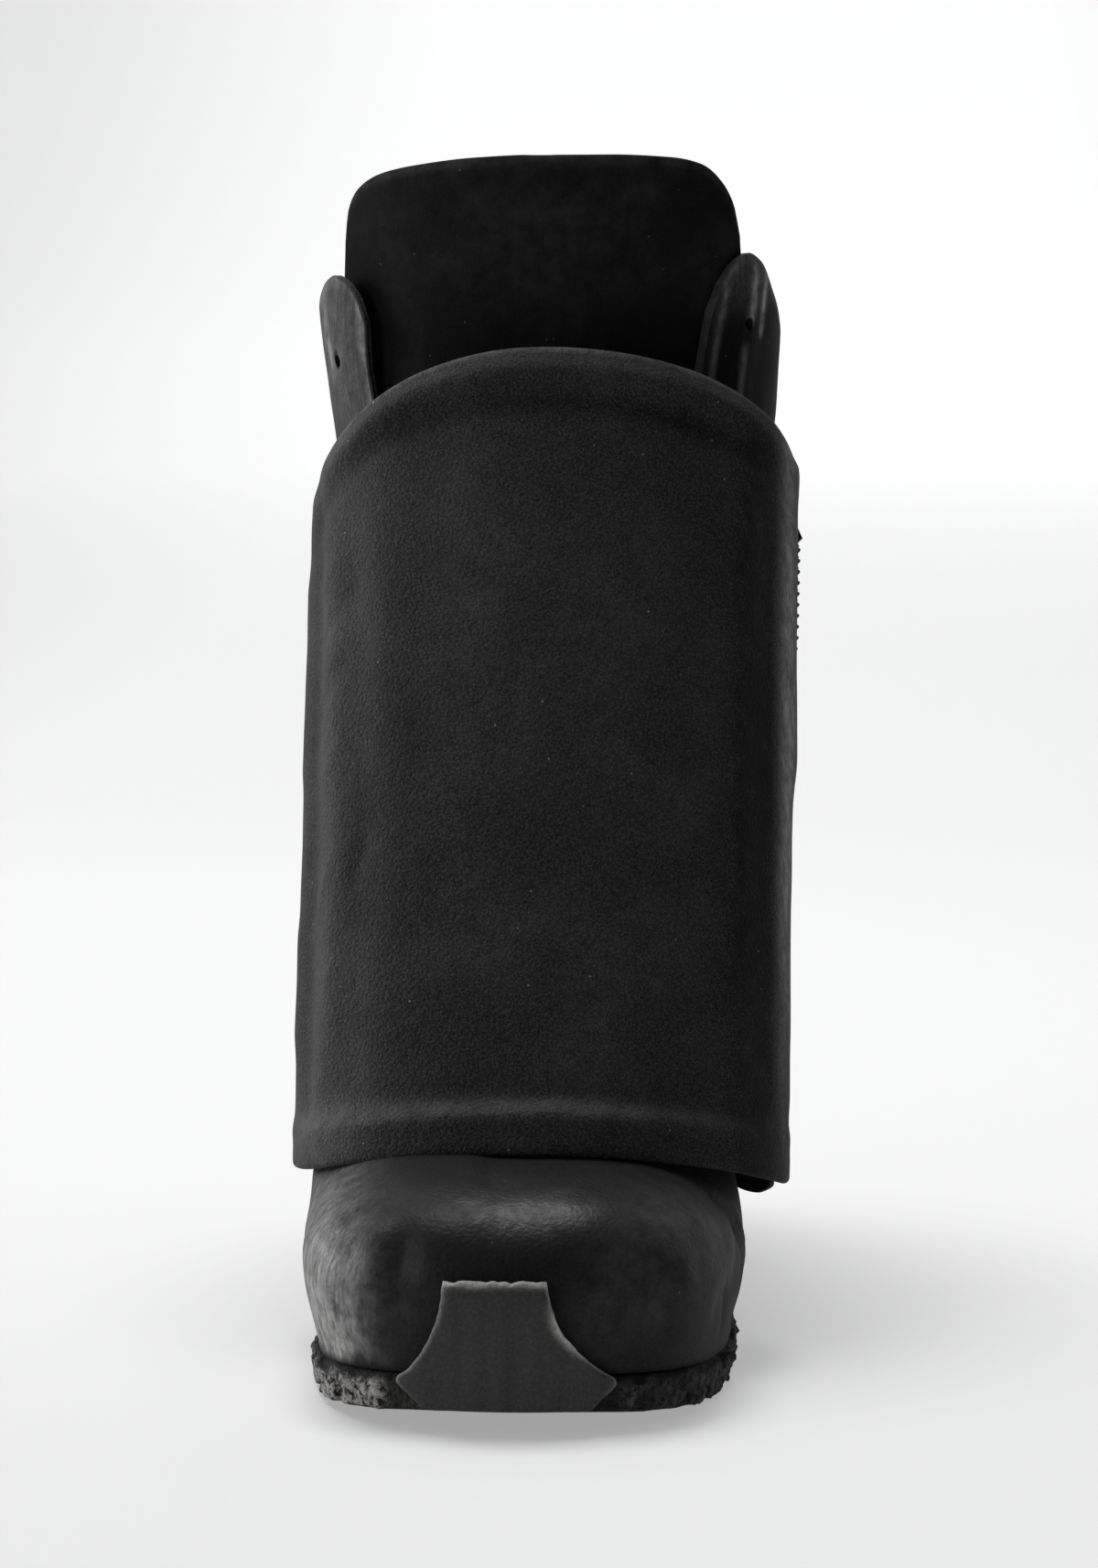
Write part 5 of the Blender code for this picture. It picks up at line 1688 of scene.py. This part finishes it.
def path_tree(name: str, inputs: dict[str, str],
              output: str) -> tuple[bpy.types.GeometryNodeTree, Any, bpy.types.NodeSocket]:
    """Start a node tree that sets copies of a shape along a path.

    Args:
        name: Name of the tree.
        inputs: Kind of each named input, beside the path, its pitch and the finish.
        output: Name of the result.

    Returns:
        The tree, the sockets of its inputs and the points along the path.
    """
    tree = bpy.data.node_groups.new(name, "GeometryNodeTree")
    for key, kind in {"Path": "Geometry", "Pitch": "Float", "Finish": "Material", **inputs}.items():
        tree.interface.new_socket(key, in_out="INPUT", socket_type="NodeSocket" + kind)
    tree.interface.new_socket(output, in_out="OUTPUT", socket_type="NodeSocketGeometry")
    given = add_node(tree, "NodeGroupInput").outputs
    curve = add_node(tree, "GeometryNodeMeshToCurve", {"Mesh": given["Path"]}).outputs[0]
    points = add_node(tree, "GeometryNodeResampleCurve", {"Curve": curve, "Length": given["Pitch"]}, mode="LENGTH")
    return tree, given, points.outputs[0]


def direction(tree: bpy.types.GeometryNodeTree, name: str) -> bpy.types.NodeSocket:
    """Direction that the path carries at its points."""
    return add_node(tree, "GeometryNodeInputNamedAttribute", {"Name": name}, data_type="FLOAT_VECTOR").outputs[0]


def turned(tree: bpy.types.GeometryNodeTree, along: tuple[str, bpy.types.NodeSocket],
           towards: tuple[str, bpy.types.NodeSocket]) -> bpy.types.NodeSocket:
    """Rotation that lays one axis along a direction, then turns about it to bring a second axis towards another.

    Args:
        tree: Node tree that gets it.
        along: First axis and its direction.
        towards: Second axis and its direction.

    Returns:
        The rotation.
    """
    kind = "FunctionNodeAlignRotationToVector"
    first = add_node(tree, kind, {"Vector": along[1]}, axis=along[0]).outputs[0]
    second = add_node(tree, kind, {"Rotation": first, "Vector": towards[1]}, axis=towards[0], pivot_axis=along[0])
    return second.outputs[0]


def set_out(tree: bpy.types.GeometryNodeTree, finish: bpy.types.NodeSocket, output: str,
            **placing: bpy.types.NodeSocket) -> None:
    """Set copies on points, make them real, dress them and hand them out.

    Args:
        tree: Node tree that is finished by it.
        finish: Material of the copies.
        output: Name of the result.
        placing: Points, shape, rotation and size of the copies.
    """
    placed = add_node(tree, "GeometryNodeInstanceOnPoints", placing).outputs[0]
    real = add_node(tree, "GeometryNodeRealizeInstances", {"Geometry": placed}).outputs[0]
    dressed = add_node(tree, "GeometryNodeSetMaterial", {"Geometry": real, "Material": finish}).outputs[0]
    add_node(tree, "NodeGroupOutput", {output: dressed})


def run_nodes(piece: bpy.types.Object, tree: bpy.types.GeometryNodeTree, values: dict[str, object]) -> None:
    """Run a node tree on a piece and keep the result as a plain mesh.

    Args:
        piece: Piece that carries the path.
        tree: Node tree.
        values: Values of its inputs, by name.
    """
    modifier = piece.modifiers.new(tree.name, "NODES")
    modifier.node_group = tree
    for item in tree.interface.items_tree:
        if item.item_type == "SOCKET" and item.in_out == "INPUT" and item.name in values:
            modifier[item.identifier] = values[item.name]
    settled(piece)
    piece.data.shade_smooth()


@dataclass
class Stitching:
    """Rows of lockstitch where the flap and tape are sewn to the quarters, and down the back seam."""

    pitch: float = 3.2
    length: float = 2.5
    width: float = 0.85
    spread: tuple[float, float] = (0.9, 1.08)
    proud: float = 0.12
    seed: int = 4
    near_edge: int = 60
    flap_setbacks: tuple[float, float] = (5.0, 8.5)
    flap_clear: float = 8.0
    tape_setback: float = 3.0
    tape_clear: float = 3.0
    seam_offset: float = 2.6
    seam_heights: tuple[float, float] = (30.0, 232.0)
    seam_points: int = 120
    seam_front: float = 240.0
    seam_traced: int = 200
    seam_lift: float = 0.35
    seam_turn: float = 0.1

    def tree(self) -> bpy.types.GeometryNodeTree:
        """Nodes that lay single stitches along paths.

        Returns:
            The new tree.
        """
        tree, given, points = path_tree("lockstitch", {"Stitch": "Vector", "Seed": "Int"}, "Stitches")
        tangent = add_node(tree, "GeometryNodeInputTangent").outputs[0]
        size = add_node(tree, "FunctionNodeRandomValue", {2: self.spread[0], 3: self.spread[1], "Seed": given["Seed"]},
                        data_type="FLOAT").outputs[1]
        ball = add_node(tree, "GeometryNodeMeshUVSphere", {"Segments": 8, "Rings": 6, "Radius": 0.5}).outputs[0]
        stitch = add_node(tree, "GeometryNodeTransform", {"Geometry": ball, "Scale": given["Stitch"]}).outputs[0]
        set_out(tree, given["Finish"], "Stitches", Points=points, Instance=stitch, Scale=size,
                Rotation=turned(tree, ("X", tangent), ("Z", direction(tree, "out"))))
        return tree

    def build(self, upper: bpy.types.Object, flap: np.ndarray, tape: np.ndarray) -> None:
        """Sew every row.

        Args:
            upper: The upper, which the back seam lies on.
            flap: Grid of points over the flap's outside.
            tape: Grid of points over the tape's outer face.
        """
        outer, inner = (self.edge_row(flap, GridEdge.FIRST, setback, self.flap_clear) for setback in self.flap_setbacks)
        rows = {"flap_stitches": outer, "flap_stitches_inner": inner,
                "tape_stitches": self.edge_row(tape, GridEdge.LAST, self.tape_setback, self.tape_clear),
                "back_seam_left": self.seam_row(upper, -self.seam_offset),
                "back_seam_right": self.seam_row(upper, self.seam_offset)}
        tree = self.tree()
        thread = Thread().build()
        for name, (points, out) in rows.items():
            path = path_object(name, points, {"out": out})
            run_nodes(path, tree, {"Pitch": self.pitch * MM, "Seed": self.seed, "Finish": thread,
                                   "Stitch": (self.length * MM, self.width * MM, self.width * MM)})
            join_part(path, "upper_leather")

    def edge_row(self, grid: np.ndarray, edge: GridEdge, setback: float,
                 clear: float) -> tuple[np.ndarray, np.ndarray]:
        """Line along one side edge of a grid, a little in from it.

        Args:
            grid: Points whose first index runs sideways and second upward.
            edge: Edge that is sewn.
            setback: Distance in from the edge.
            clear: Distance left free at both ends.

        Returns:
            Points of the line and the directions away from the shoe.
        """
        normals = np.cross(np.gradient(grid, axis=0), np.gradient(grid, axis=1))
        normals = normals / np.linalg.norm(normals, axis=2, keepdims=True)
        near = [rows[::edge.value][:self.near_edge].transpose(1, 0, 2) for rows in (grid, normals)]
        points, outs = [], []
        for line, ways in zip(*near):
            run = arc_lengths(line)
            points.append([np.interp(setback, run, line[:, k]) for k in range(3)])
            outs.append([np.interp(setback, run, ways[:, k]) for k in range(3)])
        run = arc_lengths(np.array(points))
        keep = (run > clear) & (run < run[-1] - clear)
        points, outs = np.array(points)[keep], np.array(outs)[keep]
        return points + outs * self.proud, outs

    def seam_row(self, piece: bpy.types.Object, offset: float) -> tuple[np.ndarray, np.ndarray]:
        """Line up the back of the shaft, laid on the built upper.

        Args:
            piece: The upper.
            offset: Distance sideways from the shaft's middle, to the medial side above 0.

        Returns:
            Points of the line and the directions away from the shoe.
        """
        side = Side.MEDIAL if offset > 0 else Side.LATERAL
        points = []
        for height in np.linspace(*self.seam_heights, self.seam_points):
            if height >= LAST.throat_level:
                line = LAST.contour(float(height), side)
            else:
                station = np.linspace(self.seam_front, float(LAST.shaft_back.at(height)), self.seam_traced)
                level = np.full(self.seam_traced, height)
                half = LAST.half_width(station, level, side)
                line = np.column_stack((LAST.centre + side.value * half, station, level))
            rear = line[-self.near_edge:]
            points.append(rear[np.argmin(np.abs(side.value * (rear[:, 0] - LAST.centre) - abs(offset)))])
        points = np.array(points) + np.array((side.value * self.seam_turn, 1.0, 0.0)) * self.seam_lift
        found = [piece.closest_point_on_mesh(Vector(point)) for point in place(points)]
        outs = np.array([hit[2] for hit in found])
        return np.array([hit[1] for hit in found]) / MM + MIDDLE + outs * self.proud, outs


@dataclass
class ToeBumper:
    """Smooth rubber bumper up the toe, with a torn pale edge."""

    wall: float = 2.5
    seat: float = 0.48
    centre: float = -3.8
    middle: Profile = Profile((5.8, 12, 24, 36), (-2.3, -2.4, -4.2, -5.0))
    columns: int = 90
    rows: int = 64
    toe_depth: float = 30.0
    toe_points: int = 400
    half_width: Profile = Profile((5.8, 8.5, 12.0, 16, 21, 26, 31, 36.0),
                                  (19.5, 22.2, 25.2, 21.4, 17.2, 14.3, 12.8, 12.0))
    torn: Wave = Wave(1.0, 2.2, 19.0)
    torn_top: Bump = Bump(0.8, 0.0, 2.0)
    torn_flank: Bump = Bump(0.3, 0.0, 2.0)
    thinned_top: Bump = Bump(0.6, 0.0, 1.2)
    thinned_flank: Bump = Bump(0.5, 0.0, 1.0)
    pale_top: Bump = Bump(1.0, 0.0, 1.0)
    pale_flank: Bump = Bump(0.3, 0.0, 0.6)
    pale_flank_from: tuple[float, float] = (8.0, 14.0)
    peeled_flank: Bump = Bump(1.0, 0.0, 1.5)
    peeled_height: Bump = Bump(1.0, 24.0, 4.5)

    def toe_front(self, x: np.ndarray, height: float) -> np.ndarray:
        """Front of the toe on one height.

        Args:
            x: Sideways places.
            height: Height over the floor.

        Returns:
            Stations of the toe there.
        """
        front = float(np.interp(height, LAST.ridge_line[1], LAST.ridge_line[0]))
        station = np.linspace(front, self.toe_depth, self.toe_points)
        level = np.maximum(height, LAST.feather_side.at(station))
        found = np.zeros(len(x))
        for side in Side:
            out = side.value * LAST.centre + LAST.half_width(station, level, side)
            order = np.argsort(out)
            mine = (x < LAST.centre) == (side is Side.LATERAL)
            found[mine] = np.interp(side.value * x[mine], out[order], station[order])
        return found

    def build(self) -> None:
        """Make the bumper and join it to the shoe."""
        shares = np.linspace(-1.0, 1.0, self.columns)
        heights = np.linspace(self.half_width.places[0], self.half_width.places[-1], self.rows)
        rows = []
        for height in heights:
            x = float(self.middle.at(height)) + shares * float(self.half_width.at(height))
            rows.append(np.column_stack((x, self.toe_front(x, height), np.full(len(x), height))))
        sheet = Sheet.from_grid(np.array(rows).transpose(1, 0, 2))
        height = np.tile(heights, self.columns)
        flank = (1 - np.abs(np.repeat(shares, self.rows))) * self.half_width.at(height)
        top = heights[-1] - height
        torn = self.torn.over(sheet.points)
        sheet.points[:, 2] += torn * self.torn_top.over(top)
        sheet.points[:, 0] += torn * self.torn_flank.over(flank) * np.sign(sheet.points[:, 0] - self.centre)
        worn = self.pale_top.over(top) + self.pale_flank.over(flank) * ease(height, *self.pale_flank_from)
        peeled = self.peeled_flank.over(flank) * self.peeled_height.over(height)
        worn = worn + peeled * (sheet.points[:, 0] > self.centre)
        sheet.paints[Paint.WORN] = np.clip(worn, 0.0, 1.0)
        sheet.raise_by(self.seat + self.wall - self.thinned_flank.over(flank) - self.thinned_top.over(top))
        finish = BUMPER_RUBBER.build()
        piece = sheet.shell("toe_bumper_rubber", self.wall, SQUARE, (finish, finish, finish))
        join_part(piece, "bumper_rubber", "toe_bumper")


@dataclass
class Outsole:
    """Lugged rubber sole with a crumbly rim and smooth facets beside the bumper."""

    voxel: float = 0.95
    weld: float = 0.001
    softened: float = 0.5
    soft_rounds: int = 3
    upright_fade: tuple[float, float] = (0.9, 0.55)
    facet_station: tuple[float, float] = (22.0, 12.0)
    facet_reach: tuple[float, float] = (31.0, 26.0)
    facet_smooth: float = 0.9
    crumbs: tuple[Wave, ...] = (Wave(1.15, 4.2, 23.0), Wave(0.6325, 1.9, 29.0))
    edge_fade: tuple[float, float] = (4.0, 0.5)
    rim_fade: tuple[float, float] = (-1.0, 0.6)
    ragged: float = 3.0
    ragged_wave: Wave = Wave(1.0, 4.5, 37.0)
    ragged_share: float = 0.25
    under_upper: float = 0.15
    worn_wave: Wave = Wave(0.5, 5.0, 31.0)
    worn_share: float = 0.22
    # Painted light on the rim's lateral front
    worn_front: float = 2.4
    painted_side_light_reach: tuple[float, float] = (5.0, 42.0)
    painted_side_light_station: tuple[float, float] = (80.0, 30.0)
    # Painted shade along the rim's top edge, under the upper
    painted_rim_gap_shade: float = 0.8

    def build(self) -> None:
        """Make the sole from its solid's own shape and join it to the shoe."""
        shape = bmesh.new()
        shape.from_mesh(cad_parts["outsole"].data)
        bmesh.ops.remove_doubles(shape, verts=shape.verts, dist=self.weld * MM)
        piece = scene_object("outsole_rubber", shaped_mesh("outsole_rubber", shape))
        remesh = piece.modifiers.new("even", "REMESH")
        remesh.mode = "VOXEL"
        remesh.voxel_size = self.voxel * MM
        soften = piece.modifiers.new("soften", "SMOOTH")
        soften.factor = self.softened
        soften.iterations = self.soft_rounds
        settled(piece)
        self.crumble_rim(piece.data)
        join_part(piece, "sole_rubber", "outsole")

    def outer_rim(self, points: np.ndarray) -> np.ndarray:
        """Share by which places lie outside the upper's foot line.

        Args:
            points: Places on the sole.

        Returns:
            1 on the outer rim, 0 under the upper.
        """
        x, station, _ = points.T
        halves = [LAST.plan_half(station, side) for side in (Side.LATERAL, Side.MEDIAL)]
        return ease(np.abs(x - LAST.centre) - np.where(x < LAST.centre, *halves), *self.rim_fade)

    def crumble_rim(self, mesh: bpy.types.Mesh) -> None:
        """Roughen the rim's side and paint its wear, with painted light on its lateral front and painted shade along
        its top edge.

        Args:
            mesh: Mesh of the sole.
        """
        points, normals = (np.zeros(len(mesh.vertices) * 3) for _ in range(2))
        mesh.vertices.foreach_get("co", points)
        mesh.vertex_normals.foreach_get("vector", normals)
        points, normals = points.reshape(-1, 3) / MM + MIDDLE, normals.reshape(-1, 3)
        facet = ease(points[:, 1], *self.facet_station)
        facet = facet * ease(np.abs(points[:, 0] - ToeBumper.centre), *self.facet_reach)
        rugged = 1 - self.facet_smooth * facet
        upright = ease(np.abs(normals[:, 2]), *self.upright_fade) * rugged
        lift = upright * sum(wave.over(points) for wave in self.crumbs)
        points = points + normals * lift[:, None]
        foot = LAST.feather_side.at(points[:, 1])
        edge = ease(foot - points[:, 2], *self.edge_fade) * self.outer_rim(points)
        torn = np.clip(self.ragged_wave.over(points) + self.ragged_share, 0.0, 1.0)
        points[:, 2] -= edge * rugged * self.ragged * torn
        points[:, 2] = np.clip(points[:, 2], 0.0, foot - self.under_upper)
        mesh.vertices.foreach_set("co", place(points).ravel())
        # Painted light: paler on the lateral front of the rim, where the side lamp falls
        front = ease(-points[:, 0], *self.painted_side_light_reach) * ease(points[:, 1], *self.painted_side_light_station)
        worn = upright * (0.5 + self.worn_wave.over(points)) * (self.worn_share + self.worn_front * front)
        # Painted shade: darker along the rim's top edge, in the gap under the upper
        worn = np.clip(worn * (1 - self.painted_rim_gap_shade * edge), 0.0, 1.0)
        mesh.attributes.new(Paint.WORN.value, "FLOAT", "POINT").data.foreach_set("value", worn.astype(np.float32))
        mesh.materials.append(SOLE_RUBBER.build())
        mesh.shade_smooth()
        mesh.update()


@dataclass
class Insole:
    """Leather sock over the insole board, a little dished at heel and ball."""

    thickness: float = 3.0
    sock_wall: float = 1.8
    inset: float = 4.0
    clearance: float = 0.3
    columns: int = 46
    rows: int = 170
    dishes: tuple[Bump, ...] = (Bump(0.9, 245.0, 32.0), Bump(0.6, 85.0, 40.0))
    dish_fade: tuple[float, float] = (0.05, 0.8)
    bloom: float = 0.12
    polish: float = 0.5

    def build(self) -> None:
        """Make the insole and join it to the shoe."""
        halves = []
        for side in Side:
            line = respaced(LAST.contour(LAST.foot_level, side), self.rows)
            tangent = np.gradient(line[:, :2], axis=0)
            tangent[0] = (side.value, 0.0)
            tangent[-1] = (-side.value, 0.0)
            normal = np.column_stack((tangent[:, 1], -tangent[:, 0])) * side.value
            line[:, :2] -= normal / np.linalg.norm(normal, axis=1, keepdims=True) * self.inset
            halves.append(line)
        share = np.linspace(0.0, 1.0, self.columns)[:, None, None]
        grid = halves[0] + (halves[1] - halves[0]) * share
        station = grid[..., 1]
        edge = np.minimum(share[..., 0], 1 - share[..., 0]) * 2
        dish = ease(edge, *self.dish_fade) * sum(bump.over(station) for bump in self.dishes)
        grid[..., 2] = LAST.feather_side.at(station) + self.clearance + self.thickness - dish
        sheet = Sheet.from_grid(grid)
        for paint, value in zip(LEATHER_PAINTS, (self.bloom, self.polish, 0.0)):
            sheet.paints[paint] = np.full(len(sheet.points), value)
        finish = LINING_LEATHER.build()
        piece = sheet.shell("insole_leather", self.sock_wall, SQUARE, (finish, finish, finish))
        join_part(piece, "insole_leather", "insole")


def facing(here: tuple[float, float, float], aim: tuple[float, float, float]) -> Any:
    """Turn of a lamp or camera that looks from one place at another."""
    return (Vector(aim) - Vector(here)).to_track_quat("-Z", "Y").to_euler()


@dataclass(frozen=True)
class SoftBox:
    """One studio lamp: a flat light that faces a point, in metres; a flagged one spares the paper."""

    name: str
    place: tuple[float, float, float]
    aim: tuple[float, float, float]
    size: tuple[float, float]
    power: float
    flagged: bool = False

    def build(self, paper: bpy.types.Object) -> None:
        """Put the lamp in the scene.

        Args:
            paper: Background that a flagged lamp doesn't reach.
        """
        data = bpy.data.lights.new(self.name, "AREA")
        data.shape = "RECTANGLE"
        data.size, data.size_y = self.size
        data.energy = self.power
        lamp = scene_object(self.name, data)
        lamp.location = self.place
        lamp.rotation_euler = facing(self.place, self.aim)
        if self.flagged:
            spared = bpy.data.collections.new("spared_by_" + self.name)
            spared.objects.link(paper)
            spared.collection_objects[0].light_linking.link_state = "EXCLUDE"
            lamp.light_linking.receiver_collection = spared


@dataclass
class Studio:
    """White paper sweep, soft lamps and the camera at the photograph's angle to the shoe."""

    camera_place: tuple[float, float, float] = (0.0721, -1.4829, 0.3392)
    camera_aim: tuple[float, float, float] = (0.002, -0.02, 0.1385)
    lens: float = 133.5
    view_end: float = 60.0
    paper_half: float = 12.0
    paper_bend: float = 2.6
    bend_radius: float = 1.6
    bend_steps: int = 14
    paper_top: float = 5.0
    room_tint: tuple[float, float, float, float] = (0.9, 0.95, 1.0, 1.0)
    room_strength: float = 0.06
    lamps: tuple[SoftBox, ...] = (
        SoftBox("top_lamp", (-0.2, 0.46, 1.72), (0.0, -0.05, 0.05), (1.0, 0.8), 18.5),
        SoftBox("left_lamp", (-1.2, 0.36, 0.36), (0.0, -0.05, 0.12), (1.0, 0.6), 12.5, flagged=True),
        SoftBox("front_left_lamp", (-1.3, -1.1, 0.9), (0.0, 0.0, 0.15), (0.7, 0.7), 8.2, flagged=True),
    )

    def paper(self) -> bpy.types.Object:
        """Background that runs from the floor up behind the shoe.

        Returns:
            The paper, kept out of the part.
        """
        turn = np.linspace(0.0, math.pi / 2, self.bend_steps)[1:]
        bend = [(self.paper_bend + self.bend_radius * math.sin(t), self.bend_radius * (1 - math.cos(t))) for t in turn]
        profile = [(-self.paper_half, 0.0), (self.paper_bend, 0.0), *bend,
                   (self.paper_bend + self.bend_radius, self.paper_top)]
        corners = [(x, y, z) for y, z in profile for x in (-self.paper_half, self.paper_half)]
        faces = [(2 * i, 2 * i + 1, 2 * i + 3, 2 * i + 2) for i in range(len(profile) - 1)]
        mesh = bpy.data.meshes.new("paper_sweep")
        mesh.from_pydata(corners, [], faces)
        mesh.materials.append(PaperSweep().build())
        mesh.shade_smooth()
        sweep = scene_object("paper_sweep", mesh)
        return sweep

    def build(self) -> None:
        """Make the background, the lamps, the fill light and the camera."""
        sweep = self.paper()
        for lamp in self.lamps:
            lamp.build(sweep)
        scene = bpy.context.scene
        scene.world = bpy.data.worlds.new("dim_room")
        scene.world.use_nodes = True
        tree = scene.world.node_tree
        wire(tree, tree.nodes["Background"], {"Color": self.room_tint, "Strength": self.room_strength})
        scene.view_settings.view_transform = "Standard"
        data = bpy.data.cameras.new("camera")
        data.lens = self.lens
        data.clip_end = self.view_end
        scene.camera = scene_object("camera", data)
        scene.camera.location = self.camera_place
        scene.camera.rotation_euler = facing(self.camera_place, self.camera_aim)


def main() -> None:
    """Build the studio, then every piece of the shoe."""
    logging.basicConfig(level=logging.INFO, format="%(message)s")
    Studio().build()
    Outsole().build()
    ToeBumper().build()
    Insole().build()
    upper = Upper().build()
    Tongue().build()
    flap_grid = FrontFlap().build()
    tape_grid = Zip().build()
    bpy.context.view_layer.update()
    Stitching().build(upper, flap_grid, tape_grid)


if __name__ == "__main__":
    main()
